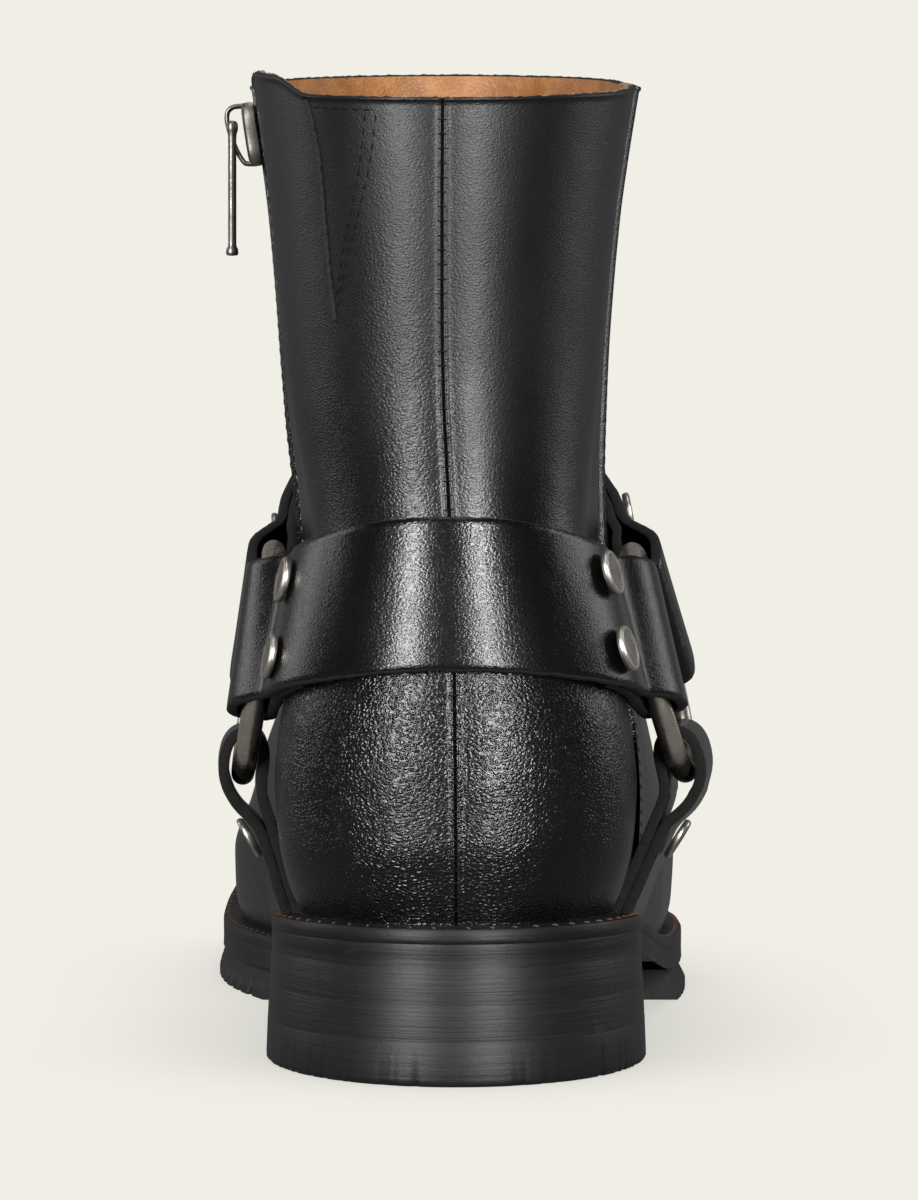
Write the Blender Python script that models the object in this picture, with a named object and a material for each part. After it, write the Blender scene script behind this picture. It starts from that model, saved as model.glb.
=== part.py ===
"""A right harness boot: hollow leather upper on a stitched sole, ring harness at the ankle, zip on the inner side.

Lengths are in millimetres until a mesh is made. s runs forward from the back of the heel, X to the outer
side of the foot, Z up from the floor. The origin is on the floor, under the middle of the heel.
"""

import math
from collections import namedtuple

import bmesh
import bpy
from mathutils import Matrix, Vector
from mathutils.bvhtree import BVHTree

MM = 0.001
GAP = 0.3

# The shoe's main sizes
LENGTH = 300.0
BALL_WIDTH = 106.4
BACK_HEIGHT = 180.0
FRONT_HEIGHT = 203.0
HEEL_CENTRE = 36.0
LEATHER = 2.2

# The sole from the floor up
TOP_LIFT = 8.0
LOWER_LIFT = 6.7
HEEL_HEIGHT = 21.4
HEEL_LENGTH = 66.0
HALF_SOLE = 6.6
MIDSOLE = 4.0
WELT = 2.9
INSOLE = 3.0
TOE_SPRING = 14.5
HALF_SOLE_BACK = 141.0
SPRING_START = 205.0
LUG_DEPTH = 2.4
LUG_PITCH = 8.5
LUG_GROOVE = 2.8
LUG_REACH = 15.0
SOLE_FLARE = 1.8
HEEL_ROUND = 47.0
TOE_ROUND = 52.0
TOE_SQUARENESS = 2.5
WELT_LEDGE = 2.5
INSOLE_CLEARANCE = 1.2
SOLE_ANGLES = 36

# The harness
STRAP = 1.8
REAR_STRAP_WIDTH = 28.5
FRONT_STRAP_WIDTH = 28.5
LOWER_STRAP_WIDTH = 23.0
RING_RADIUS = 22.5
RING_ROD = 4.6
RING_STATION = 72.0
RING_HEIGHT = 75.5
REAR_STRAP_SLOPE = math.radians(12)
FRONT_STRAP_SLOPE = math.radians(30)
STRAP_TAIL = 33.5
RIVET_RADIUS = 4.4
RIVET_HEIGHT = 1.5
RIVET_SPACING = 15.0
RIVET_AFTER_RING = 8.5
LOWER_STRAP_END = 1.2
FOLD_TAPER = 7.0
FOLD_STEPS = 7
SIDE_STEPS = 9
ROUND_STEPS = 16
LOWER_STEPS = 10

# The zip
ZIP_WIDTH = 8.0
ZIP_CHAIN = 4.6
ZIP_TAPE = 0.5
ZIP_DEPTH = 1.0
ZIP_END_HEIGHT = 62.0
SLIDER_DROP = 8.6
SLIDER_LENGTH = 12.5
SLIDER_WIDTH = 7.0
SLIDER_THICKNESS = 1.8
BAIL_HEIGHT = 4.6
BAIL_THICKNESS = 1.2
PULL_LENGTH = 26.5
PULL_RADIUS = 0.87
PIN_RADIUS = 0.6

# Steps in the upper's wall
LAP = 1.2
BACK_SEAM_RAISE = 0.5
BACK_SEAM_WIDTH = 1.6
STEP_RUN = 0.5

# The sole's outline: shares of LENGTH along, of BALL_WIDTH across
Outline = namedtuple("Outline", "along swing half")
OUTLINE = [
    Outline(0.00, 0.009, 0.333),
    Outline(0.15, 0.009, 0.335),
    Outline(0.20, 0.010, 0.337),
    Outline(0.27, 0.024, 0.338),
    Outline(0.33, 0.040, 0.351),
    Outline(0.40, 0.044, 0.378),
    Outline(0.47, 0.037, 0.420),
    Outline(0.53, 0.020, 0.461),
    Outline(0.60, 0.004, 0.490),
    Outline(0.67, -0.009, 0.500),
    Outline(0.73, -0.022, 0.491),
    Outline(0.80, -0.038, 0.466),
    Outline(0.85, -0.050, 0.436),
    Outline(1.00, -0.075, 0.418),
]

# The underside of the midsole: share of the heel's rise over the half sole
Arch = namedtuple("Arch", "along rise")
ARCH = [
    Arch(0.00, 1.00),
    Arch(0.10, 0.97),
    Arch(0.17, 0.88),
    Arch(0.21, 0.81),
    Arch(0.27, 0.65),
    Arch(0.32, 0.47),
    Arch(0.37, 0.28),
    Arch(0.43, 0.09),
    Arch(0.48, 0.00),
    Arch(1.00, 0.00),
]

# The upper's rings, from the feather to the collar. back and front are where a ring meets the heel curve and
# the vamp's ridge: shares of LENGTH along, and of the height from the sole to the collar there. dip is how far
# it follows the sole's arch, round_back and round_front the shares of it that its ends take. heel to toe are
# half widths, and lean a shift to the outer side: shares of BALL_WIDTH. swing is its share of the sole's.
Ring = namedtuple(
    "Ring",
    "back back_rise front front_rise dip round_back round_front heel waist arch ball toe swing lean",
)
RINGS = [
    Ring(0.022, 0.000, 0.979, 0.000, 1.00, 0.12, 0.15, 0.278, 0.298, 0.371, 0.446, 0.378, 1.00, 0.000),
    Ring(0.016, 0.042, 0.988, 0.034, 1.00, 0.12, 0.15, 0.303, 0.313, 0.384, 0.461, 0.391, 1.00, 0.000),
    Ring(0.011, 0.102, 0.989, 0.084, 0.92, 0.12, 0.16, 0.320, 0.323, 0.386, 0.464, 0.388, 0.96, 0.000),
    Ring(0.011, 0.162, 0.972, 0.136, 0.72, 0.12, 0.17, 0.325, 0.327, 0.376, 0.428, 0.350, 0.90, 0.000),
    Ring(0.014, 0.235, 0.925, 0.180, 0.45, 0.12, 0.18, 0.316, 0.321, 0.353, 0.396, 0.302, 0.80, 0.000),
    Ring(0.021, 0.313, 0.840, 0.222, 0.20, 0.13, 0.20, 0.290, 0.302, 0.322, 0.356, 0.281, 0.65, 0.000),
    Ring(0.029, 0.392, 0.740, 0.277, 0.05, 0.15, 0.20, 0.262, 0.283, 0.305, 0.324, 0.265, 0.45, -0.002),
    Ring(0.035, 0.471, 0.645, 0.352, 0.00, 0.18, 0.21, 0.250, 0.274, 0.291, 0.300, 0.258, 0.30, -0.004),
    Ring(0.037, 0.552, 0.570, 0.447, 0.00, 0.22, 0.24, 0.260, 0.279, 0.287, 0.288, 0.258, 0.15, -0.008),
    Ring(0.037, 0.640, 0.520, 0.552, 0.00, 0.27, 0.28, 0.280, 0.291, 0.294, 0.290, 0.268, 0.05, -0.013),
    Ring(0.035, 0.738, 0.490, 0.676, 0.00, 0.31, 0.32, 0.296, 0.303, 0.304, 0.301, 0.286, 0.00, -0.015),
    Ring(0.031, 0.857, 0.470, 0.824, 0.00, 0.35, 0.35, 0.316, 0.321, 0.322, 0.319, 0.309, 0.00, -0.015),
    Ring(0.027, 1.000, 0.460, 1.000, 0.00, 0.38, 0.38, 0.350, 0.357, 0.358, 0.354, 0.345, 0.00, -0.014),
]

# Where each ring of the harness lies: side is -1 on the inner side, out its distance from the middle, and tilt
# and turn lean its foot and its front outwards. rivets is how far past the ring its straps are riveted.
HarnessRing = namedtuple("HarnessRing", "name side out tilt turn rivets")
HARNESS_RINGS = [
    HarnessRing("medial", -1, 38.8, math.radians(8.0), math.radians(4.0), 14.5),
    HarnessRing("lateral", 1, 41.6, math.radians(14.0), math.radians(8.0), 21.5),
]
WIDTH_PLACES = (0.0, 0.2, 0.45, 0.7, 1.0)
RINGS_PER_ROW = 2

# Stations of the side seam on the outer side and of the zip on the inner side, as shares of LENGTH
SideLine = namedtuple("SideLine", "rise lap zip")
SIDE_LINES = [
    SideLine(0.0, 0.285, 0.320),
    SideLine(0.3, 0.265, 0.300),
    SideLine(0.6, 0.245, 0.262),
    SideLine(1.0, 0.235, 0.240),
]


def smooth(xs, ys, x):
    """The value at x of a smooth curve through the points, which never overshoots them."""
    if x <= xs[0]:
        return ys[0]
    if x >= xs[-1]:
        return ys[-1]
    count = len(xs)
    rises = [(ys[i + 1] - ys[i]) / (xs[i + 1] - xs[i]) for i in range(count - 1)]
    slopes = [0.0] * count
    for i in range(1, count - 1):
        before, after = rises[i - 1], rises[i]
        if before * after > 0:
            slopes[i] = 2 * before * after / (before + after)
    i = max(j for j in range(count - 1) if xs[j] <= x)
    step = xs[i + 1] - xs[i]
    u = (x - xs[i]) / step
    start = (1 + 2 * u) * (1 - u) ** 2 * ys[i] + u * (1 - u) ** 2 * step * slopes[i]
    end = u * u * (3 - 2 * u) * ys[i + 1] + u * u * (u - 1) * step * slopes[i + 1]
    return start + end


def column(table, key, value, x):
    """Reads one named column of a table against another."""
    return smooth([getattr(row, key) for row in table], [getattr(row, value) for row in table], x)


def mix(a, b, share):
    return a + (b - a) * share


def world(x, s, z):
    """A place in the shoe's own terms as a point in metres."""
    return Vector((x, s - HEEL_CENTRE, z)) * MM


def midsole_bottom(s):
    along = s / LENGTH
    spring = max(0.0, (s - SPRING_START) / (LENGTH - SPRING_START)) ** 1.25 * TOE_SPRING
    return HALF_SOLE + GAP + (HEEL_HEIGHT - HALF_SOLE - GAP) * column(ARCH, "along", "rise", along) + spring


def welt_bottom(s):
    return midsole_bottom(s) + MIDSOLE + GAP


def sole_top(s):
    return welt_bottom(s) + WELT


def swing(s):
    return column(OUTLINE, "along", "swing", s / LENGTH) * BALL_WIDTH


def half_width(s, inset=0.0):
    """Half the sole's width at s, drawn in by inset all round, with its rounded heel and toe."""
    half = column(OUTLINE, "along", "half", s / LENGTH) * BALL_WIDTH - inset
    into_heel = (HEEL_ROUND - s) / (HEEL_ROUND - inset)
    into_toe = (s - LENGTH + TOE_ROUND) / (TOE_ROUND - inset)
    if into_heel > 0:
        half *= math.sqrt(max(0.0, 1 - into_heel**2))
    if into_toe > 0:
        half *= max(0.0, 1 - into_toe**TOE_SQUARENESS) ** (1 / TOE_SQUARENESS)
    return half


def stations(start, end, step, round_start=0.0, round_end=0.0, per_round=7):
    """Stations from start to end, close together where the outline turns round at an end."""
    found = []
    for i in range(per_round if round_start else 0):
        found.append(start + round_start * (1 - math.cos(math.pi / 2 * (i + 0.35) / per_round)))
    first, last = start + round_start, end - round_end
    count = max(1, round((last - first) / step))
    found += [first + (last - first) * i / count for i in range(count + 1)]
    for i in reversed(range(per_round if round_end else 0)):
        found.append(end - round_end * (1 - math.cos(math.pi / 2 * (i + 0.35) / per_round)))
    return found


def material(name, colour, roughness, metallic=0.0):
    made = bpy.data.materials.new(name)
    made.use_nodes = True
    shader = made.node_tree.nodes["Principled BSDF"]
    shader.inputs["Base Color"].default_value = (*colour, 1.0)
    shader.inputs["Roughness"].default_value = roughness
    shader.inputs["Metallic"].default_value = metallic
    made.diffuse_color = (*colour, 1.0)
    return made


def add_mesh(name, mesh, finish, collection):
    made = bpy.data.objects.new(name, mesh)
    made.data.materials.append(finish)
    mesh.shade_smooth()
    mesh.set_sharp_from_angle(angle=math.radians(35))
    collection.objects.link(made)
    return made


def skin_mesh(name, rows, closed_across=True, closed_along=False):
    """A mesh whose faces join each row of points to the next. Rows that don't close on the first get end caps."""
    made = bmesh.new()
    grid = [[made.verts.new(point) for point in row] for row in rows]
    across = len(rows[0])
    for r in range(len(rows) if closed_along else len(rows) - 1):
        here, there = grid[r], grid[(r + 1) % len(rows)]
        for c in range(across if closed_across else across - 1):
            after = (c + 1) % across
            made.faces.new((here[c], here[after], there[after], there[c]))
    if not closed_along:
        made.faces.new(grid[0])
        made.faces.new(grid[-1])
    bmesh.ops.recalc_face_normals(made, faces=made.faces)
    if made.calc_volume(signed=True) < 0:
        bmesh.ops.reverse_faces(made, faces=made.faces)
    mesh = bpy.data.meshes.new(name)
    made.to_mesh(mesh)
    made.free()
    return mesh


# Sole


def slab(name, places, bottom, top, inset_bottom, inset_top, finish, collection, round_inset=0.0):
    """A layer of the sole between two surfaces, its side leaning from one inset at the bottom to one at the top."""
    rows = []
    for s in places:
        row = []
        low, high = bottom(s), top(s)
        for inset, z, side in (
            (inset_bottom, low, 1),
            (inset_top, high, 1),
            (inset_top, high, -1),
            (inset_bottom, low, -1),
        ):
            width = half_width(s, round_inset) + round_inset - inset
            row.append(world(swing(s) + side * width, s, z))
        rows.append(row)
    return add_mesh(name, skin_mesh(name, rows), finish, collection)


def build_heel(finishes, collection):
    """Two leather lifts, the upper one a wedge under the arch, on a rubber top lift."""
    places = stations(0.4, HEEL_LENGTH, 10.0, round_start=HEEL_ROUND - 0.4)
    lower_top = TOP_LIFT + LOWER_LIFT
    slab("top_lift", places, lambda s: 0.0, lambda s: TOP_LIFT, -1.2, -0.7, finishes["rubber"], collection)
    slab(
        "lower_lift",
        places,
        lambda s: TOP_LIFT + GAP,
        lambda s: lower_top,
        -0.6,
        -0.3,
        finishes["edge"],
        collection,
    )
    slab(
        "upper_lift",
        places,
        lambda s: lower_top + GAP,
        lambda s: midsole_bottom(s) - GAP,
        -0.3,
        0.1,
        finishes["edge"],
        collection,
    )


def build_half_sole(finishes, collection):
    """The rubber half sole: flat from its back edge to the spring, grooved from both sides between its lugs."""
    places = [HALF_SOLE_BACK]
    grooved = [False]
    edge = HALF_SOLE_BACK + LUG_PITCH
    while edge + LUG_PITCH < LENGTH - LUG_DEPTH:
        for offset, deep in ((0.0, False), (STEP_RUN, True), (LUG_GROOVE, True), (LUG_GROOVE + STEP_RUN, False)):
            places.append(edge + offset)
            grooved.append(deep)
        edge += LUG_PITCH
    tip = [place for place in stations(edge, LENGTH - 0.4, LUG_PITCH, round_end=LUG_PITCH, per_round=3)]
    places += tip
    grooved += [False] * len(tip)
    rows = []
    for s, deep in zip(places, grooved):
        top = midsole_bottom(s) - GAP
        bottom = top - HALF_SOLE
        cut = LUG_DEPTH if deep else 0.0
        notch = LUG_DEPTH / 2 if deep else 0.0
        width = half_width(s)
        inner = max(width - LUG_REACH, width * 0.4)
        flare = SOLE_FLARE * min(1.0, width / LUG_REACH)
        half = [
            (width - flare, top),
            (width + flare / 2 - notch, bottom + cut + flare),
            (width + flare / 2 - notch, bottom + cut),
            (inner, bottom + cut),
            (inner - STEP_RUN, bottom),
        ]
        row = [world(swing(s) + x, s, z) for x, z in half]
        row += [world(swing(s) - x, s, z) for x, z in reversed(half)]
        rows.append(row)
    return add_mesh("half_sole", skin_mesh("half_sole", rows), finishes["rubber"], collection)


def feather(angle, inset):
    """A point of the upper's lowest ring, drawn in from its outside by inset."""
    return upper_skin(0.0, angle, -inset)


def build_midsole_and_welt(finishes, collection):
    """The midsole runs the sole's whole length. The welt is a rim on it, wide enough to carry the upper's wall."""
    places = stations(0.4, LENGTH - 0.4, 12.0, round_start=HEEL_ROUND - 0.4, round_end=TOE_ROUND - 0.4)
    slab(
        "midsole",
        places,
        midsole_bottom,
        lambda s: midsole_bottom(s) + MIDSOLE,
        0.5,
        0.0,
        finishes["edge"],
        collection,
    )
    rows = []
    for i in range(2 * SOLE_ANGLES):
        angle = math.pi * (i / SOLE_ANGLES - 1)
        s = (1 - math.cos(angle)) / 2 * LENGTH
        side = math.copysign(1.0, angle)
        inner = feather(angle, LEATHER + WELT_LEDGE)
        row = [
            world(swing(s) + side * max(0.0, half_width(s) - 0.4), s, welt_bottom(s)),
            world(swing(s) + side * half_width(s), s, welt_bottom(s) + WELT / 3),
            world(swing(s) + side * max(0.0, half_width(s) - 0.4), s, sole_top(s)),
            world(inner.x, inner.y, sole_top(inner.y)),
            world(inner.x, inner.y, welt_bottom(inner.y)),
        ]
        rows.append(row)
    add_mesh("welt", skin_mesh("welt", rows, closed_along=True), finishes["edge"], collection)


def build_insole(finishes, collection):
    """The insole lies on the welt's inner ledge, inside the upper's wall."""
    rows = []
    for i in range(1, SOLE_ANGLES):
        angle = math.pi * i / SOLE_ANGLES
        row = []
        for side, lift in ((1, GAP), (1, GAP + INSOLE), (-1, GAP + INSOLE), (-1, GAP)):
            edge = feather(side * angle, LEATHER + INSOLE_CLEARANCE)
            row.append(world(edge.x, edge.y, sole_top(edge.y) + lift))
        rows.append(row)
    add_mesh("insole", skin_mesh("insole", rows), finishes["lining"], collection)


# Upper


def ring_value(row, name):
    """A column of the ring table at a place between its rows, row counting from 0 at the feather."""
    return smooth(range(len(RINGS)), [getattr(ring, name) for ring in RINGS], row)


def upper_half(row, t):
    """Half the upper's width at a share t of the way along a ring."""
    t = min(1.0, max(0.0, t))
    back, front = ring_value(row, "round_back"), ring_value(row, "round_front")
    places = [back + (1 - back - front) * share for share in WIDTH_PLACES]
    widths = [ring_value(row, name) for name in ("heel", "waist", "arch", "ball", "toe")]
    half = smooth(places, widths, t) * BALL_WIDTH
    if t < back:
        half *= math.sqrt(max(0.0, 1 - ((back - t) / back) ** 2))
    squareness = mix(TOE_SQUARENESS, 2.0, min(1.0, row / 6))
    if t > 1 - front:
        half *= max(0.0, 1 - ((t - 1 + front) / front) ** squareness) ** (1 / squareness)
    return half


def upper_height(row, t):
    """Height of a ring at a share t of its length."""
    feather_back, feather_front = RINGS[0].back * LENGTH, RINGS[0].front * LENGTH
    low_back, low_front = sole_top(feather_back) + GAP, sole_top(feather_front) + GAP
    back = mix(low_back, BACK_HEIGHT, ring_value(row, "back_rise"))
    front = mix(low_front, FRONT_HEIGHT, ring_value(row, "front_rise"))
    s = upper_station(row, t)
    along = (s - feather_back) / (feather_front - feather_back)
    arch = mix(low_back, low_front, along) - sole_top(s) - GAP
    return mix(back, front, t) - ring_value(row, "dip") * arch


def upper_station(row, t):
    return mix(ring_value(row, "back"), ring_value(row, "front"), t) * LENGTH


def upper_form(row, angle):
    """A point of the upper's plain form. angle is 0 at the back seam, pi at the toe and negative on the inner side."""
    angle = math.remainder(angle, 2 * math.pi)
    t = (1 - math.cos(angle)) / 2
    s = upper_station(row, t)
    centre = swing(s) * ring_value(row, "swing") + ring_value(row, "lean") * BALL_WIDTH
    return Vector((centre + math.copysign(upper_half(row, t), angle), s, upper_height(row, t)))


def upper_skin(row, angle, lift):
    """A point that stands out from the plain form by lift, along its normal."""
    small = 0.02
    top = len(RINGS) - 1
    low, high = max(0.0, row - small), min(top, row + small)
    rise = upper_form(high, angle) - upper_form(low, angle)
    run = upper_form(row, angle + small) - upper_form(row, angle - small)
    normal = run.cross(rise).normalized()
    return upper_form(row, angle) + normal * lift


def row_at_height(angle_of, height):
    """The row at which a line up the upper's side reaches a height."""
    low, high = 0.0, len(RINGS) - 1.0
    for _ in range(30):
        middle = (low + high) / 2
        if upper_form(middle, angle_of(middle)).z < height:
            low = middle
        else:
            high = middle
    return (low + high) / 2


def side_angle(row, name):
    """The angle at which the side seam or the zip crosses a ring."""
    rise = row / (len(RINGS) - 1)
    s = column(SIDE_LINES, "rise", name, rise) * LENGTH
    start, end = upper_station(row, 0.0), upper_station(row, 1.0)
    return math.acos(1 - 2 * (s - start) / (end - start))


def angle_step(row, angle, distance):
    """The turn that moves a point of a ring by a distance along it."""
    small = 0.01
    moved = (upper_form(row, angle + small) - upper_form(row, angle - small)).length
    return 2 * small * distance / moved


def upper_columns(row, zip_row):
    """The angles of a ring's points with the step of the wall at each, once round from the inner side of the toe."""
    seam = BACK_SEAM_WIDTH / 2
    turn = angle_step(row, 0.0, 1.0)
    lap = side_angle(row, "lap")
    lap_turn = angle_step(row, lap, STEP_RUN)
    zip_middle = side_angle(row, "zip")
    zip_turn = angle_step(row, zip_middle, 1.0)
    zip_half = ZIP_WIDTH / 2 * zip_turn
    sunk = -ZIP_DEPTH if row > zip_row else 0.0
    outer = [(0.0, BACK_SEAM_RAISE), (seam * turn, BACK_SEAM_RAISE), ((seam + STEP_RUN) * turn, 0.0)]
    outer += spread(outer[-1][0], lap, 8, 0.0)
    outer += [(lap + lap_turn, LAP)]
    outer += spread(lap + lap_turn, math.pi, 12, LAP)
    inner = [(seam * turn, BACK_SEAM_RAISE), ((seam + STEP_RUN) * turn, 0.0)]
    inner += spread(inner[-1][0], zip_middle - zip_half - STEP_RUN * zip_turn, 7, 0.0)
    inner += [(zip_middle - zip_half, sunk), (zip_middle + zip_half, sunk if sunk else LAP)]
    front_edge = zip_middle + zip_half + STEP_RUN * zip_turn
    inner += [(front_edge, LAP)]
    inner += spread(front_edge, math.pi, 12, LAP)[:-1]
    return [(-angle, lift) for angle, lift in reversed(inner)] + outer


def spread(start, end, count, lift):
    return [(mix(start, end, (i + 1) / count), lift) for i in range(count)]


def upper_rows():
    rows = [i / RINGS_PER_ROW for i in range((len(RINGS) - 1) * RINGS_PER_ROW + 1)]
    return rows


def build_upper(finishes, collection):
    """One hollow wall with a raised back seam, a front panel lapped over the back one and a sunk zip placket."""
    zip_row = row_at_height(lambda row: -side_angle(row, "zip"), ZIP_END_HEIGHT)
    outside, inside = [], []
    for row in upper_rows():
        columns = upper_columns(row, zip_row)
        out_ring = [upper_skin(row, angle, lift) for angle, lift in columns]
        in_ring = [upper_skin(row, angle, -LEATHER) for angle, lift in columns]
        if row == 0.0:
            for out_point, in_point in zip(out_ring, in_ring):
                out_point.z = sole_top(out_point.y) + GAP
                in_point.z = sole_top(in_point.y) + GAP
        outside.append([world(*point) for point in out_ring])
        inside.append([world(*point) for point in in_ring])
    mesh = skin_mesh("upper", outside + inside[::-1], closed_along=True)
    return add_mesh("upper", mesh, finishes["leather"], collection)


# Zip


def zip_angle(row):
    return -side_angle(row, "zip")


def zip_point(row, across, lift):
    """A point on the zip, across being its distance to the front of the zip's middle."""
    angle = zip_angle(row)
    return upper_skin(row, angle - across * angle_step(row, angle, 1.0), lift)


def build_zip_chain(finishes, collection):
    """The zip's tape lies in the placket from its lower stop to the collar, its closed teeth a rib along it."""
    zip_row = math.ceil(row_at_height(zip_angle, ZIP_END_HEIGHT) * RINGS_PER_ROW) / RINGS_PER_ROW
    last = len(RINGS) - 1 - 0.12
    floor = GAP - ZIP_DEPTH
    tape = ZIP_WIDTH / 2 - GAP
    teeth = ZIP_CHAIN / 2
    profile = [
        (-tape, floor),
        (-tape, floor + ZIP_TAPE),
        (-teeth, floor + ZIP_TAPE),
        (-teeth + 0.4, floor + 2.4 * ZIP_TAPE),
        (teeth - 0.4, floor + 2.4 * ZIP_TAPE),
        (teeth, floor + ZIP_TAPE),
        (tape, floor + ZIP_TAPE),
        (tape, floor),
    ]
    rows = []
    for row in [mix(zip_row + 0.06, last, i / 16) for i in range(17)]:
        rows.append([world(*zip_point(row, across, lift)) for across, lift in profile])
    return add_mesh("zip_chain", skin_mesh("zip_chain", rows), finishes["metal"], collection)


def slider_place():
    """Where the slider stands: its middle on the teeth, and its own upward, outward and forward directions."""
    collar = BACK_HEIGHT + (FRONT_HEIGHT - BACK_HEIGHT) * 0.45
    row = row_at_height(zip_angle, collar - SLIDER_DROP)
    top = GAP - ZIP_DEPTH + 2.4 * ZIP_TAPE
    middle = zip_point(row, 0.0, max(top, LAP) + GAP)
    up = (zip_point(row + 0.1, 0.0, 0.0) - zip_point(row - 0.1, 0.0, 0.0)).normalized()
    out = zip_point(row, 0.0, 1.0) - zip_point(row, 0.0, 0.0)
    out = (out - up * out.dot(up)).normalized()
    return middle, up, out, out.cross(up)


def turned_place(middle, right, forward, up):
    """The matrix that sets a piece's own X, Y and Z along three directions at a point in the shoe's own terms."""
    place = Matrix((right, forward, up)).transposed().to_4x4()
    place.translation = world(*middle)
    return place


def cylinder(made, radius, length, place, end_radius=None, segments=12):
    cone = bmesh.ops.create_cone(
        made,
        cap_ends=True,
        segments=segments,
        radius1=radius * MM,
        radius2=(radius if end_radius is None else end_radius) * MM,
        depth=length * MM,
        matrix=place,
    )
    return cone


def solid(name, build):
    """An object from a function that fills a bmesh with one closed shape."""
    made = bmesh.new()
    build(made)
    bmesh.ops.recalc_face_normals(made, faces=made.faces)
    mesh = bpy.data.meshes.new(name)
    made.to_mesh(mesh)
    made.free()
    return mesh


def joined(name, meshes, finish, collection, cut=()):
    """One object that unites the first meshes and is cut by the others."""
    base = add_mesh(name, meshes[0], finish, collection)
    for i, (mesh, operation) in enumerate([(m, "UNION") for m in meshes[1:]] + [(m, "DIFFERENCE") for m in cut]):
        tool = bpy.data.objects.new(f"{name}_tool_{i}", mesh)
        tool.hide_render = True
        tool.display_type = "WIRE"
        bpy.data.collections["tools"].objects.link(tool)
        boolean = base.modifiers.new(f"join_{i}", "BOOLEAN")
        boolean.object = tool
        boolean.operation = operation
        boolean.solver = "EXACT"
    return base


def build_slider_and_pull(finishes, collection):
    """The slider stands on the teeth with an upright bail, and the pull hangs from a pin through the bail."""
    middle, up, out, forward = slider_place()
    place = turned_place(middle + out * SLIDER_THICKNESS / 2, forward, up, out)

    def body(made):
        size = Matrix.Diagonal((SLIDER_WIDTH * MM, SLIDER_LENGTH * MM, SLIDER_THICKNESS * MM, 1.0))
        bmesh.ops.create_cube(made, size=1.0, matrix=place @ size)

    def bail(made):
        reach = BAIL_HEIGHT + SLIDER_THICKNESS / 2
        outline = [(-0.5, 0.0), (-0.5, 0.5), (-0.36, 0.9), (-0.2, 1.0), (0.3, 1.0), (0.46, 0.8), (0.5, 0.5), (0.5, 0.0)]
        sides = []
        for side in (-1, 1):
            points = []
            for along, height in outline:
                across = forward * (side * BAIL_THICKNESS / 2)
                point = middle + out * (SLIDER_THICKNESS / 2 + height * reach) + across
                points.append(made.verts.new(world(*(point - up * (along * SLIDER_LENGTH)))))
            sides.append(points)
        made.faces.new(sides[0])
        made.faces.new(sides[1])
        for i in range(len(outline)):
            after = (i + 1) % len(outline)
            made.faces.new((sides[0][i], sides[0][after], sides[1][after], sides[1][i]))

    pin_middle = middle + out * (SLIDER_THICKNESS + BAIL_HEIGHT / 2) + up * (SLIDER_LENGTH * 0.12)
    pin_place = turned_place(pin_middle, up, out, forward)

    def hole(made):
        cylinder(made, PIN_RADIUS + GAP, 6.0, pin_place)

    joined("zip_slider", [solid("body", body), solid("bail", bail)], finishes["metal"], collection, [solid("hole", hole)])

    down = Vector((0.0, 0.0, -1.0))
    near = -forward
    rod_axis = pin_middle + near * (BAIL_THICKNESS / 2 + GAP + PULL_RADIUS)
    side = down.cross(near).normalized()
    level = near - down * near.dot(down)
    level.normalize()

    def pin(made):
        length = BAIL_THICKNESS + 2 * GAP + 1.6
        cylinder(made, PIN_RADIUS, length, turned_place(pin_middle + near * 0.35, up, out, forward), segments=8)

    def far_head(made):
        centre = pin_middle - near * (BAIL_THICKNESS / 2 + GAP + 0.3)
        cylinder(made, PIN_RADIUS * 2, 0.6, turned_place(centre, up, out, forward), segments=8)

    def rod(made):
        centre = rod_axis + down * (PULL_LENGTH / 2 - 1.0)
        cylinder(made, PULL_RADIUS, PULL_LENGTH, turned_place(centre, side, level, down), segments=10)

    def end_cap(made):
        centre = rod_axis + down * (PULL_LENGTH - 1.4)
        cylinder(
            made, PULL_RADIUS, 1.4, turned_place(centre, side, level, down), end_radius=PULL_RADIUS * 1.45, segments=10
        )

    meshes = [solid("rod", rod), solid("cap", end_cap), solid("pin", pin), solid("head", far_head)]
    joined("zip_pull", meshes, finishes["metal"], collection)


# Harness


def obstacle(objects):
    """A search tree over the outsides of some solids, in millimetres of the shoe's own terms."""
    points, faces = [], []
    for item in objects:
        first = len(points)
        points += [Vector((v.co.x / MM, v.co.y / MM + HEEL_CENTRE, v.co.z / MM)) for v in item.data.vertices]
        faces += [[first + i for i in face.vertices] for face in item.data.polygons]
    return BVHTree.FromPolygons(points, faces)


def rest_line(tree, origin, outward, across, width, lean=None):
    """How far out a flat strip lies on the solids: its middle's distance, and its lean across its width."""
    reaches = []
    for i in range(-4, 5):
        offset = width / 2 * i / 4
        start = origin + across * offset + outward * 200.0
        hit = tree.ray_cast(start, -outward)[0]
        if hit:
            reaches.append((offset, (hit - origin).dot(outward)))
    if lean is None:
        mean = sum(reach for _, reach in reaches) / len(reaches)
        lean = sum(offset * (reach - mean) for offset, reach in reaches) / sum(offset**2 for offset, _ in reaches)
    return max(reach - lean * offset for offset, reach in reaches), lean


def ease(low, high, x):
    share = min(1.0, max(0.0, (x - low) / (high - low)))
    return share * share * (3 - 2 * share)


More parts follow.
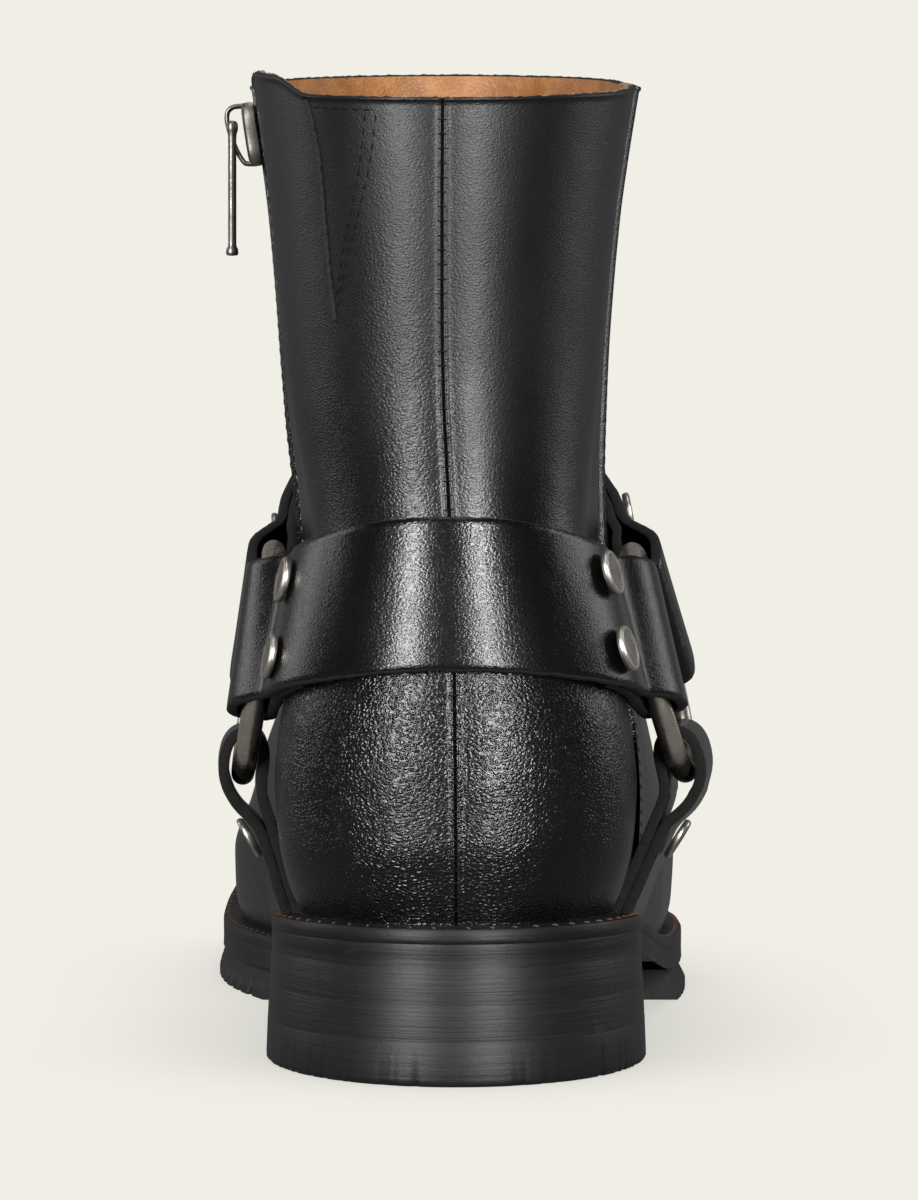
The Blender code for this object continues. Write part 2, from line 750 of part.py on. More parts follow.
def strip(name, stations_along, width, finish, collection):
    """A strap: a flat section carried through (middle, across) stations, its edges rounded by a chamfer."""
    rows = []
    count = len(stations_along)
    for i, (middle, across) in enumerate(stations_along):
        before = stations_along[max(0, i - 1)][0]
        after = stations_along[min(count - 1, i + 1)][0]
        run = (after - before).normalized()
        side = (across - run * across.dot(run)).normalized()
        face = run.cross(side)
        row = []
        for x, y in ((-1, -1), (1, -1), (1, 1), (-1, 1)):
            row.append(world(*(middle + side * (x * width / 2) + face * (y * STRAP / 2))))
        rows.append(row)
    return add_mesh(name, skin_mesh(name, rows), finish, collection)


class StrapPlane:
    """The tilted plane that a strap between the two rings lies in, and how it rests in it on the upper."""

    def __init__(self, tree, slope, forward, width):
        self.tree = tree
        self.width = width
        self.centre = Vector((0.0, RING_STATION, RING_HEIGHT))
        self.along = Vector((0.0, forward * math.cos(slope), math.sin(slope)))
        self.across = Vector((0.0, -forward * math.sin(slope), math.cos(slope)))
        corner = width / 2 + 6 * GAP
        edge = math.sqrt((RING_RADIUS - RING_ROD / 2) ** 2 - corner**2)
        self.fold = edge + RING_ROD / 2
        self.clear = RING_RADIUS + RING_ROD / 2 + 0.5
        self.turn = self.clear + 8.0

    def ring_line(self, ring, distance):
        """Out to the under side of a ring's rod at a distance from the ring's centre, with its lean."""
        tilt, turn = math.tan(ring.tilt), math.tan(ring.turn)
        lean = turn * self.across.y - tilt * self.across.z
        out = ring.out + distance * (turn * self.along.y - tilt * self.along.z) - RING_ROD / 2 - GAP
        return out, lean

    def side_station(self, ring, distance):
        """The strap's inner face beside the ring: under the rod where the rod is, on the upper behind it."""
        origin = self.centre + self.along * distance
        outward = Vector((ring.side, 0.0, 0.0))
        _, plain_lean = rest_line(self.tree, origin, outward, self.across, self.width)
        rod, rod_lean = self.ring_line(ring, distance)
        share = 1 - ease(self.clear, self.turn, distance)
        lean = mix(plain_lean, rod_lean, share)
        plain, _ = rest_line(self.tree, origin, outward, self.across, self.width, lean)
        reach = max(plain + GAP, mix(plain + GAP, rod - STRAP - GAP, share))
        return origin + outward * reach, self.across + outward * lean, outward

    def round_station(self, angle):
        """The strap's inner face round the upper, angle being the turn from the middle to the outer side."""
        origin = self.centre + self.along * self.turn
        outward = self.along * math.cos(angle) + Vector((math.sin(angle), 0.0, 0.0))
        reach, lean = rest_line(self.tree, origin, outward, self.across, self.width)
        return origin + outward * (reach + GAP), self.across + outward * lean, outward

    def route(self):
        """The line of the strap's inner face from the medial ring to the lateral one, with across and normal."""
        medial, lateral = HARNESS_RINGS
        distances = [mix(self.fold, self.turn, i / SIDE_STEPS) for i in range(SIDE_STEPS + 1)]
        angles = [math.pi / 2 * (i / ROUND_STEPS - 1) for i in range(1, 2 * ROUND_STEPS)]
        found = [self.side_station(medial, distance) for distance in distances]
        found += [self.round_station(angle) for angle in angles]
        found += [self.side_station(lateral, distance) for distance in reversed(distances)]
        stations_along = with_normals(found)
        for _ in range(8):
            stations_along = with_normals(self.settled(stations_along))
        return stations_along

    def settled(self, found):
        """The same stations, each moved out until the strap's inner face is clear of the upper."""
        moved = []
        for i, (middle, across, normal) in enumerate(found):
            lack = 0.0
            for near in (found[max(0, i - 1)], found[min(len(found) - 1, i + 1)]):
                for share in (0.0, 0.5):
                    for k in range(-2, 3):
                        side = mix(across, near[1], share) * (self.width * k / 4)
                        point = mix(middle, near[0], share) + side
                        place, facing = self.tree.find_nearest(point)[:2]
                        lack = max(lack, GAP - (point - place).dot(facing))
            moved.append((middle + normal * min(lack, 1.0), across, normal))
        return moved


def with_normals(found):
    """Stations (middle, across, outward) with the across made square to the run, and the outward to both."""
    squared = []
    for i, (middle, across, outward) in enumerate(found):
        run = (found[min(len(found) - 1, i + 1)][0] - found[max(0, i - 1)][0]).normalized()
        side = (across - run * across.dot(run)).normalized()
        normal = run.cross(side)
        squared.append((middle, side, normal if normal.dot(outward) > 0 else -normal))
    return squared


def folded_end(plane, order, tail_length):
    """Where a strap turns round a ring's rod, order being its route from the ring on.

    Gives the inner layer from its tail to the fold with the fold itself, the lifts of the outer layer from there
    on, and how far each station is from the fold.
    """
    inner_lift = STRAP / 2
    doubled = inner_lift + STRAP + 1.5 * GAP
    looped = inner_lift + STRAP + RING_ROD + 5 * GAP
    lengths = [0.0]
    for before, after in zip(order, order[1:]):
        lengths.append(lengths[-1] + (after[0] - before[0]).length)
    tail = len([length for length in lengths if length < tail_length]) - 1
    points = [(middle + normal * inner_lift, across) for middle, across, normal in order[: tail + 1]][::-1]
    middle, across, normal = order[0]
    run = (order[1][0] - middle).normalized()
    radius = (looped - inner_lift) / 2
    for i in range(1, FOLD_STEPS):
        turn = math.pi * i / FOLD_STEPS
        lift = inner_lift + radius - radius * math.cos(turn)
        points.append((middle + normal * lift - run * (radius * math.sin(turn)), across))
    near = plane.clear - plane.fold
    lifts = []
    for length in lengths:
        lift = mix(looped, doubled, ease(near, near + FOLD_TAPER, length))
        lifts.append(mix(lift, inner_lift, ease(tail_length + 3.0, tail_length + 11.0, length)))
    return points, lifts, lengths


def build_rivets(name, strap, places, finishes, collection):
    """Domed rivets on a strap, each standing just clear of the leather at (middle, normal)."""
    tree = obstacle([strap])
    for letter, (middle, normal) in zip("abcd", places):
        side = normal.orthogonal().normalized()
        other = normal.cross(side)
        height = 0.0
        for i in range(33):
            rim = RIVET_RADIUS * min(1.0, math.ceil(i / 16) / 2)
            turn = math.pi * i / 8
            point = middle + side * (rim * math.cos(turn)) + other * (rim * math.sin(turn))
            hit = tree.ray_cast(point + normal * 12.0, -normal)[0]
            if hit:
                height = max(height, (hit - middle).dot(normal))
        base = middle + normal * (height + 1.5 * GAP)

        mesh = solid(f"{name}_rivet_{letter}", lambda made: rivet_head(made, base, side, other, normal))
        add_mesh(f"{name}_rivet_{letter}", mesh, finishes["metal"], collection)


def rivet_head(made, base, side, other, normal):
    """A rivet's head: a low drum whose top face is drawn in and up to a dome."""
    drum = RIVET_HEIGHT * 0.45
    cylinder(made, RIVET_RADIUS, drum, turned_place(base + normal * (drum / 2), side, other, normal), segments=14)
    top = max(made.faces, key=lambda face: (face.calc_center_median() - world(*base)).dot(normal))
    for inset, rise in ((0.8, 0.6), (1.4, 0.4)):
        bmesh.ops.inset_region(made, faces=[top], thickness=inset * MM)
        bmesh.ops.translate(made, verts=top.verts, vec=normal * (rise * (RIVET_HEIGHT - drum) * MM))


def build_ring_strap(name, plane, finishes, collection):
    """A strap from ring to ring, each end folded round its rod and riveted back on itself."""
    route = plane.route()
    medial_points, medial_lifts, medial_lengths = folded_end(plane, route, STRAP_TAIL)
    lateral_points, lateral_lifts, lateral_lengths = folded_end(plane, route[::-1], STRAP_TAIL)
    outer = []
    for i, (middle, across, normal) in enumerate(route):
        lift = max(medial_lifts[i], lateral_lifts[len(route) - 1 - i])
        outer.append((middle + normal * lift, across, normal))
    whole = medial_points + [station[:2] for station in outer] + lateral_points[::-1]
    strap = strip(name, whole, plane.width, finishes["leather"], collection)
    squared = with_normals(outer)
    for ring, order, lengths in zip(HARNESS_RINGS, (squared, squared[::-1]), (medial_lengths, lateral_lengths)):
        at = plane.clear - plane.fold + ring.rivets
        middle, across, normal = order[min(range(len(order)), key=lambda i: abs(lengths[i] - at))]
        places = [(middle + across * (RIVET_SPACING / 2 * k), normal) for k in (1, -1)]
        build_rivets(f"{name}_{ring.name}", strap, places, finishes, collection)
    return strap


def build_lower_strap(ring, tree, finishes, collection):
    """A doubled strap from the ring's foot to the welt, where it is caught under the upper."""
    plane = StrapPlane(tree, -math.pi / 2, 1, LOWER_STRAP_WIDTH)
    edges = [RING_STATION + LOWER_STRAP_WIDTH / 2 * k for k in (-1, 0, 1)]
    end = RING_HEIGHT - max(welt_bottom(s) + WELT for s in edges) - LOWER_STRAP_END
    outward = Vector((ring.side, 0.0, 0.0))
    foot, foot_lean = rest_line(tree, plane.centre + plane.along * end, outward, plane.across, plane.width)
    found = []
    for i in range(LOWER_STEPS + 1):
        distance = mix(plane.fold, end, i / LOWER_STEPS)
        origin = plane.centre + plane.along * distance
        rod, rod_lean = plane.ring_line(ring, min(distance, plane.clear))
        share = 1 - max(0.0, distance - plane.clear) / (end - plane.clear)
        lean = mix(foot_lean, rod_lean, share)
        plain, _ = rest_line(tree, origin, outward, plane.across, plane.width, lean)
        reach = max(plain + GAP, mix(foot + GAP, rod - STRAP - GAP, share))
        found.append((origin + outward * reach, plane.across + outward * lean, outward))
    order = with_normals(found)
    points, lifts, lengths = folded_end(plane, order, 1000.0)
    outer = [(middle + normal * lift, across, normal) for (middle, across, normal), lift in zip(order, lifts)]
    name = f"lower_strap_{ring.name}"
    whole = points + [station[:2] for station in outer]
    strap = strip(name, whole, plane.width, finishes["leather"], collection)
    squared = with_normals(outer)
    index = min(range(len(order)), key=lambda i: abs(lengths[i] - (plane.clear - plane.fold + RIVET_AFTER_RING)))
    build_rivets(name, strap, [(squared[index][0], squared[index][2])], finishes, collection)
    return strap


def build_rings(finishes, collection):
    for ring in HARNESS_RINGS:
        bpy.ops.mesh.primitive_torus_add(
            major_radius=RING_RADIUS * MM, minor_radius=RING_ROD / 2 * MM, major_segments=26, minor_segments=8
        )
        made = bpy.context.object
        made.name = f"ring_{ring.name}"
        normal = Vector((ring.side, -math.tan(ring.turn), math.tan(ring.tilt))).normalized()
        turn = Vector((0.0, 0.0, 1.0)).rotation_difference(normal).to_matrix().to_4x4()
        turn.translation = world(ring.side * ring.out, RING_STATION, RING_HEIGHT)
        made.matrix_world = turn
        made.data.materials.append(finishes["metal"])
        made.data.shade_smooth()
        for old in list(made.users_collection):
            old.objects.unlink(made)
        collection.objects.link(made)


def main():
    for old in list(bpy.data.objects):
        bpy.data.objects.remove(old, do_unlink=True)
    boot = bpy.data.collections.new("harness_boot")
    bpy.context.scene.collection.children.link(boot)
    bpy.context.scene.collection.children.link(bpy.data.collections.new("tools"))
    finishes = {
        "leather": material("black_leather", (0.012, 0.012, 0.013), 0.42),
        "edge": material("black_edge", (0.014, 0.013, 0.013), 0.5),
        "rubber": material("black_rubber", (0.016, 0.016, 0.016), 0.65),
        "lining": material("tan_lining", (0.50, 0.27, 0.12), 0.6),
        "metal": material("antique_nickel", (0.42, 0.37, 0.32), 0.35, 1.0),
    }
    build_heel(finishes, boot)
    build_half_sole(finishes, boot)
    build_midsole_and_welt(finishes, boot)
    build_insole(finishes, boot)
    upper = build_upper(finishes, boot)
    chain = build_zip_chain(finishes, boot)
    build_slider_and_pull(finishes, boot)
    build_rings(finishes, boot)
    tree = obstacle([upper, chain])
    rear = StrapPlane(tree, REAR_STRAP_SLOPE, -1, REAR_STRAP_WIDTH)
    front = StrapPlane(tree, FRONT_STRAP_SLOPE, 1, FRONT_STRAP_WIDTH)
    build_ring_strap("rear_strap", rear, finishes, boot)
    build_ring_strap("front_strap", front, finishes, boot)
    for ring in HARNESS_RINGS:
        build_lower_strap(ring, tree, finishes, boot)


main()
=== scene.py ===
"""A right harness boot in black grained leather, seen from behind and level with its ankle.

Lengths are in millimetres until a mesh is made. s runs forward from the back of the heel, X to the outer
side of the foot and Z up from the floor. The origin is on the floor, under the middle of the heel.
"""

import math

import bmesh
import bpy
import numpy as np
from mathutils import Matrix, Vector, noise
from mathutils.bvhtree import BVHTree


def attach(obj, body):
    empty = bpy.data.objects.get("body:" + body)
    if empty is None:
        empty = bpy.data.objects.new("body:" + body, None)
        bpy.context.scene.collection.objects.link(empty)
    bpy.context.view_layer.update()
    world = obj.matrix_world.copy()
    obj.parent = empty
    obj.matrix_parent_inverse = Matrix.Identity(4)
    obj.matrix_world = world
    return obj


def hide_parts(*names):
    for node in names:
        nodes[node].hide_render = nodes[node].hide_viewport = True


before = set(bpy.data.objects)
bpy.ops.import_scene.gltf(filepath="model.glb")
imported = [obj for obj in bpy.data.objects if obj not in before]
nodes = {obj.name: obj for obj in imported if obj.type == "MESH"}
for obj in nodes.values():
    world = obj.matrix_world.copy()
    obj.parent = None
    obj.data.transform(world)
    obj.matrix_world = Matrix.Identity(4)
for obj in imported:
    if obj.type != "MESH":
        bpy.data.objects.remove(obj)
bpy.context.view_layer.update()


# The last
# The foot form that the leather is drawn over, at the levels of the sole that is built under it. Its
# rings are those of the CAD upper, read at a finer pitch, as shares of the outsole's length and its width
# at the ball.

LENGTH = 300.0
BALL_WIDTH = 106.4
BACK_HEIGHT = 180.0
FRONT_HEIGHT = 203.0
GAP = 0.3
HALF_SOLE = 6.6
HEEL_HEIGHT = 21.4
MIDSOLE = 4.0
WELT = 2.9
TOE_SPRING = 14.5
SPRING_START = 205.0
SPRING_CURVE = 1.25
TOE_SQUARENESS = 2.5
ROUND = 2.0
LAST_SQUARE_RING = 6

# Columns: station along the outsole, swing of its middle line to the outer side, half its width.
OUTLINE = np.array(
    [
        (0.00, 0.009, 0.333),
        (0.15, 0.009, 0.335),
        (0.20, 0.010, 0.337),
        (0.27, 0.024, 0.338),
        (0.33, 0.040, 0.351),
        (0.40, 0.044, 0.378),
        (0.47, 0.037, 0.420),
        (0.53, 0.020, 0.461),
        (0.60, 0.004, 0.490),
        (0.67, -0.009, 0.500),
        (0.73, -0.022, 0.491),
        (0.80, -0.038, 0.466),
        (0.85, -0.050, 0.436),
        (1.00, -0.075, 0.418),
    ]
)
# Columns: station along the outsole, share of the arch's rise.
ARCH = np.array(
    [
        (0.00, 1.00),
        (0.10, 0.97),
        (0.17, 0.88),
        (0.21, 0.81),
        (0.27, 0.65),
        (0.32, 0.47),
        (0.37, 0.28),
        (0.43, 0.09),
        (0.48, 0.00),
        (1.00, 0.00),
    ]
)
# Columns: back, back rise, front, front rise, dip, round back, round front, five half widths from heel to
# toe, swing and lean.
RINGS = np.array(
    [
        (0.022, 0.000, 0.979, 0.000, 1.00, 0.12, 0.15, 0.278, 0.298, 0.371, 0.446, 0.378, 1.00, 0.000),
        (0.016, 0.042, 0.988, 0.034, 1.00, 0.12, 0.15, 0.303, 0.313, 0.384, 0.461, 0.391, 1.00, 0.000),
        (0.011, 0.102, 0.989, 0.084, 0.92, 0.12, 0.16, 0.320, 0.323, 0.386, 0.464, 0.388, 0.96, 0.000),
        (0.011, 0.162, 0.972, 0.136, 0.72, 0.12, 0.17, 0.325, 0.327, 0.376, 0.428, 0.350, 0.90, 0.000),
        (0.014, 0.235, 0.925, 0.180, 0.45, 0.12, 0.18, 0.316, 0.321, 0.353, 0.396, 0.302, 0.80, 0.000),
        (0.021, 0.313, 0.840, 0.222, 0.20, 0.13, 0.20, 0.290, 0.302, 0.322, 0.356, 0.281, 0.65, 0.000),
        (0.029, 0.392, 0.740, 0.277, 0.05, 0.15, 0.20, 0.262, 0.283, 0.305, 0.324, 0.265, 0.45, -0.002),
        (0.035, 0.471, 0.645, 0.352, 0.00, 0.18, 0.21, 0.250, 0.274, 0.291, 0.300, 0.258, 0.30, -0.004),
        (0.037, 0.552, 0.570, 0.447, 0.00, 0.22, 0.24, 0.260, 0.279, 0.287, 0.288, 0.258, 0.15, -0.008),
        (0.037, 0.640, 0.520, 0.552, 0.00, 0.27, 0.28, 0.280, 0.291, 0.294, 0.290, 0.268, 0.05, -0.013),
        (0.035, 0.738, 0.490, 0.676, 0.00, 0.31, 0.32, 0.296, 0.303, 0.304, 0.301, 0.286, 0.00, -0.015),
        (0.031, 0.857, 0.470, 0.824, 0.00, 0.35, 0.35, 0.316, 0.321, 0.322, 0.319, 0.309, 0.00, -0.015),
        (0.027, 1.000, 0.460, 1.000, 0.00, 0.38, 0.38, 0.350, 0.357, 0.358, 0.354, 0.345, 0.00, -0.014),
    ]
)
TOP_ROW = len(RINGS) - 1


def mix(a, b, share):
    """From a to b as share goes from 0 to 1."""
    return a + (b - a) * share


def curve(xs, ys, x):
    """A smooth curve through points that never overshoots them, read at one place or at many."""
    xs, ys = np.asarray(xs, float), np.asarray(ys, float)
    x = np.clip(x, xs[0], xs[-1])
    rises = np.diff(ys) / np.diff(xs)
    product, total = rises[:-1] * rises[1:], rises[:-1] + rises[1:]
    slopes = np.zeros(len(xs))
    slopes[1:-1] = np.where(product > 0, 2 * product / np.where(total == 0, 1.0, total), 0.0)
    i = np.clip(np.searchsorted(xs, x, side="right") - 1, 0, len(xs) - 2)
    step = xs[i + 1] - xs[i]
    u = (x - xs[i]) / step
    start = ((1 + 2 * u) * ys[i] + u * step * slopes[i]) * (1 - u) ** 2
    return start + ((3 - 2 * u) * ys[i + 1] + (u - 1) * step * slopes[i + 1]) * u * u


def midsole_bottom(s):
    spring = np.maximum(0.0, (s - SPRING_START) / (LENGTH - SPRING_START)) ** SPRING_CURVE * TOE_SPRING
    rise = (HEEL_HEIGHT - HALF_SOLE - GAP) * curve(ARCH[:, 0], ARCH[:, 1], s / LENGTH)
    return HALF_SOLE + GAP + rise + spring


def welt_bottom(s):
    return midsole_bottom(s) + MIDSOLE + GAP


def sole_top(s):
    return welt_bottom(s) + WELT


def swing(s):
    return curve(OUTLINE[:, 0], OUTLINE[:, 1], s / LENGTH) * BALL_WIDTH


def ring_at(row):
    """One ring's columns, also between two rings of the table."""
    return [float(curve(range(len(RINGS)), RINGS[:, i], row)) for i in range(RINGS.shape[1])]


def form(row, angles):
    """Points of one ring. An angle is 0 at the back seam, pi at the toe and negative on the inner side."""
    back, back_rise, front, front_rise, dip, round_back, round_front, *widths, turn, lean = ring_at(row)
    angles = (np.asarray(angles, float) + math.pi) % (2 * math.pi) - math.pi
    t = (1 - np.cos(angles)) / 2
    places = [round_back + (1 - round_back - round_front) * share for share in (0.0, 0.2, 0.45, 0.7, 1.0)]
    half = curve(places, widths, t) * BALL_WIDTH
    half = half * np.sqrt(1 - np.clip((round_back - t) / round_back, 0.0, 1.0) ** 2)
    squareness = mix(TOE_SQUARENESS, ROUND, min(1.0, row / LAST_SQUARE_RING))
    into_toe = np.clip((t - 1 + round_front) / round_front, 0.0, 1.0)
    half = half * (1 - into_toe**squareness) ** (1 / squareness)
    s = mix(back, front, t) * LENGTH
    feather_back, feather_front = RINGS[0][0] * LENGTH, RINGS[0][2] * LENGTH
    low_back, low_front = sole_top(feather_back) + GAP, sole_top(feather_front) + GAP
    rise = mix(mix(low_back, BACK_HEIGHT, back_rise), mix(low_front, FRONT_HEIGHT, front_rise), t)
    along = (s - feather_back) / (feather_front - feather_back)
    z = rise - dip * (mix(low_back, low_front, along) - sole_top(s) - GAP)
    x = swing(s) * turn + lean * BALL_WIDTH + np.where(angles < 0, -half, half)
    return np.stack([x, s, z], axis=-1)


# Upper
# One wall of black grained leather with a tan lining, sewn and drawn over the last. The front panel laps
# over the back one on the outer side, the zip lies in a sunk placket on the inner side, and the back seam
# is a pair of drawn-in ridges. The collar's edge is turned on its outer side and left raw inside.

LEATHER = 2.2
LAP = 1.2
ZIP_WIDTH = 8.0
ZIP_DEPTH = 1.0
ZIP_END_HEIGHT = 62.0
CORNER_RISE = 3.2
TURNED_EDGE = 0.32
TURNED_DROPS = np.array([0.15, 0.13, 0.11, 0.085, 0.06, 0.04])
# Columns: distance from the middle of the back, lift of the leather, for the inner half of the seam.
BACK_SEAM = [(-1.5, 0.0), (-1.15, 0.06), (-0.85, 0.20), (-0.58, 0.28), (-0.26, 0.18), (-0.09, -0.10)]
SEAM_DEPTH = 0.30
# Columns: depth into the wall as a share, drop below the collar's line.
RAW_EDGE = ((0.0, 0.55), (0.06, 0.2), (0.2, 0.0), (0.45, -0.08))
LINING_EDGE = ((0.5, 0.06), (0.75, -0.02), (0.93, 0.2), (1.0, 1.0))
SEAM_REACH = 2.2
FOOT_GAP = 0.05
LINED_RIM_END = 80.0
FRONT_INNER_COLUMNS = 78
BACK_COLUMNS = 64
FRONT_OUTER_COLUMNS = 79
OUTER_ROWS = 182
INNER_ROWS = 60
MM = 0.001
HEEL_CENTRE = 36.0
BLACK = (0.0012, 0.0012, 0.0013)
FIBRE_DARK = (0.0028, 0.0026, 0.0026)
FIBRE_PALE = (0.015, 0.0125, 0.011)
TAN_DARK = (0.24, 0.092, 0.024)
TAN = (0.42, 0.19, 0.061)
FUZZ_DARK = (0.16, 0.10, 0.06)
FUZZ_PALE = (0.5, 0.37, 0.26)


class Value:
    """A number, place or colour that changes over a surface: the output of a node."""

    def __init__(self, looks, socket):
        self.looks = looks
        self.socket = socket

    def math(self, operation, *others):
        values = dict(enumerate((self, *others)))
        return self.looks.node("ShaderNodeMath", {"operation": operation}, values)

    def __add__(self, other):
        return self.math("ADD", other)

    def __sub__(self, other):
        return self.math("SUBTRACT", other)

    def __mul__(self, other):
        return self.math("MULTIPLY", other)

    def __rsub__(self, other):
        return self.math("MULTIPLY_ADD", -1.0, other)

    __radd__ = __add__
    __rmul__ = __mul__

    def ramp(self, low, high):
        """0 below low and 1 above high, with a smooth step between."""
        values = {"Value": self, "From Min": low, "From Max": high, "To Min": 0.0, "To Max": 1.0}
        return self.looks.node("ShaderNodeMapRange", {"interpolation_type": "SMOOTHSTEP"}, values, "Result")


class Looks:
    """A tree of shader nodes."""

    def __init__(self, tree):
        self.tree = tree

    def node(self, kind, settings, values, output=0):
        """A new node, with its settings made first and then its sockets' values or links."""
        made = self.tree.nodes.new(kind)
        for name, setting in settings.items():
            setattr(made, name, setting)
        for name, value in values.items():
            self.put(made.inputs[name], value)
        return Value(self, made.outputs[output])

    def put(self, socket, value):
        if isinstance(value, Value):
            self.tree.links.new(value.socket, socket)
        else:
            socket.default_value = value

    def blend(self, share, first, second):
        """A colour that goes from the first to the second as share goes from 0 to 1."""
        values = {"Factor": share}
        for place, colour in ((6, first), (7, second)):
            values[place] = colour if isinstance(colour, Value) else (*colour, 1.0)
        return self.node("ShaderNodeMix", {"data_type": "RGBA"}, values, 2)


class Finish(Looks):
    """A material whose patterns are laid out in millimetres, from each object's own coordinates."""

    def __init__(self, name, colour, roughness, metallic=0.0):
        self.material = bpy.data.materials.new(name)
        self.material.use_nodes = True
        super().__init__(self.material.node_tree)
        self.set("Base Color", (*colour, 1.0))
        self.set("Roughness", roughness)
        self.set("Metallic", metallic)
        place = self.node("ShaderNodeTexCoord", {}, {}, "Object")
        self.spot = self.scaled(place, (1 / MM, 1 / MM, 1 / MM))

    def set(self, name, value):
        self.put(self.tree.nodes["Principled BSDF"].inputs[name], value)

    def scaled(self, vector, scale):
        return self.node("ShaderNodeVectorMath", {"operation": "MULTIPLY"}, {0: vector, 1: scale})

    def bent(self, amount, size):
        """The place, pushed about by a noise, for patterns that mustn't run straight."""
        push = self.node("ShaderNodeTexNoise", {}, {"Scale": 1.0 / size, "Vector": self.spot}, "Color")
        push = self.scaled(push, (amount, amount, amount))
        return self.node("ShaderNodeVectorMath", {"operation": "ADD"}, {0: self.spot, 1: push})

    def noise(self, size, detail=2.0, rough=0.5, stretch=(1, 1, 1), spot=None):
        place = self.scaled(spot or self.spot, [1.0 / k for k in stretch])
        values = {"Scale": 1.0 / size, "Detail": detail, "Roughness": rough, "Vector": place}
        return self.node("ShaderNodeTexNoise", {}, values, "Fac")

    def cells(self, size, stretch=(1, 1, 1), spot=None):
        """The distance from the edges of small cells."""
        place = self.scaled(spot or self.spot, [1.0 / k for k in stretch])
        values = {"Scale": 1.0 / size, "Vector": place}
        return self.node("ShaderNodeTexVoronoi", {"feature": "DISTANCE_TO_EDGE"}, values, "Distance")

    def attribute(self, name):
        return self.node("ShaderNodeAttribute", {"attribute_name": name}, {}, "Fac")

    def relief(self, height):
        """Bumps the surface by a height in millimetres."""
        self.set("Normal", self.node("ShaderNodeBump", {}, {"Distance": MM, "Height": height}, "Normal"))


def grained_leather(name, dark, light, gloss):
    """Leather with a pebbled grain, made coarser by the grain attribute and glossier by shine."""
    made = Finish(name, dark, 0.4)
    patches = made.noise(24, 3, 0.6)
    strength = made.attribute("grain")
    bent = made.bent(1.6, 6.0)
    shine = made.attribute("shine")
    pebble = made.cells(0.78, spot=bent, stretch=(1.2, 1.2, 0.8)).ramp(0.0, 0.40)
    fine = made.cells(0.48, spot=bent).ramp(0.0, 0.45)
    folds = made.noise(1.1, 2, 0.5, stretch=(2.2, 2.2, 0.7), spot=made.bent(3.0, 9.0))
    pores = made.noise(0.3, 2, 0.6)
    grain = pebble * 0.070 + folds * 0.042
    made.relief(grain * strength + fine * 0.013 + pores * 0.003 + made.noise(11, 2, 0.5) * 0.11)
    tone = (pebble * 0.35 + pores * 0.45 + patches * 0.4).ramp(0.35, 0.95)
    made.set("Base Color", made.blend(tone, dark, light))
    made.set("Roughness", (gloss + 0.17) - shine * 0.19 + patches.ramp(0.25, 0.75) * 0.06 + fine * 0.03)
    made.set("Specular IOR Level", 0.5)
    return made


upper_leather = grained_leather("upper_leather", BLACK, (0.0028, 0.0027, 0.0029), 0.245)

raw_edge = Finish("raw_edge", FIBRE_PALE, 0.85)
fibres = raw_edge.noise(0.35, 3, 0.7)
raw_edge.set("Base Color", raw_edge.blend(fibres.ramp(0.3, 0.75), FIBRE_DARK, FIBRE_PALE))
raw_edge.relief(fibres * 0.35)

lining = Finish("lining", TAN, 0.5)
mottle = lining.noise(7, 4, 0.6)
lining.set("Base Color", lining.blend(mottle.ramp(0.25, 0.8), TAN_DARK, TAN))
lining.relief(lining.cells(1.1).ramp(0.0, 0.3) * 0.05 + lining.noise(0.4, 3) * 0.04)

lining_edge = Finish("lining_edge", FUZZ_PALE, 0.9)
fuzz = lining_edge.noise(0.3, 3, 0.7)
lining_edge.set("Base Color", lining_edge.blend(fuzz.ramp(0.25, 0.8), FUZZ_DARK, FUZZ_PALE))
lining_edge.relief(fuzz * 0.4)


def ease(low, high, x):
    """0 at low and 1 at high, with a smooth step between. High may be the lower of the two."""
    share = np.clip((x - low) / (high - low), 0.0, 1.0)
    return share * share * (3 - 2 * share)


def unit(vectors):
    return vectors / np.maximum(np.linalg.norm(vectors, axis=-1, keepdims=True), 1e-9)


def skin(row, angles, lift=0.0):
    """Points of the upper's skin at a lift from the last, with the outward normals there."""
    angles = np.atleast_1d(np.asarray(angles, float))
    low, high = max(0.0, row - 0.02), min(TOP_ROW, row + 0.02)
    rise = form(high, angles) - form(low, angles)
    run = form(row, angles + 0.02) - form(row, angles - 0.02)
    normals = unit(np.cross(run, rise))
    return form(row, angles) + normals * np.asarray(lift, float).reshape(-1, 1), normals


def turn_for(row, angle, distance):
    """The turn that moves a point of a ring by a distance along it."""
    ends = form(row, np.array([angle - 0.01, angle + 0.01]))
    return 0.02 * distance / np.linalg.norm(ends[1] - ends[0])


def line_angle(row, shares):
    """The angle where a line up the side crosses a ring, from its stations at four heights."""
    s = float(curve((0.0, 0.3, 0.6, 1.0), shares, row / TOP_ROW)) * LENGTH
    back, front = ring_at(row)[0] * LENGTH, ring_at(row)[2] * LENGTH
    return math.acos(1 - 2 * (s - back) / (front - back))


def lap_angle(row):
    return line_angle(row, (0.285, 0.265, 0.245, 0.235))


def zip_angle(row):
    return line_angle(row, (0.320, 0.300, 0.262, 0.240))


def row_at_height(angle_of, height):
    """The row, whole or not, where a line up the upper reaches a height."""
    low, high = 0.0, float(TOP_ROW)
    for _ in range(30):
        middle = (low + high) / 2
        if form(middle, np.array([angle_of(middle)]))[0][2] < height:
            low = middle
        else:
            high = middle
    return (low + high) / 2


zip_row = math.ceil(row_at_height(lambda row: -zip_angle(row), ZIP_END_HEIGHT) * 2) / 2


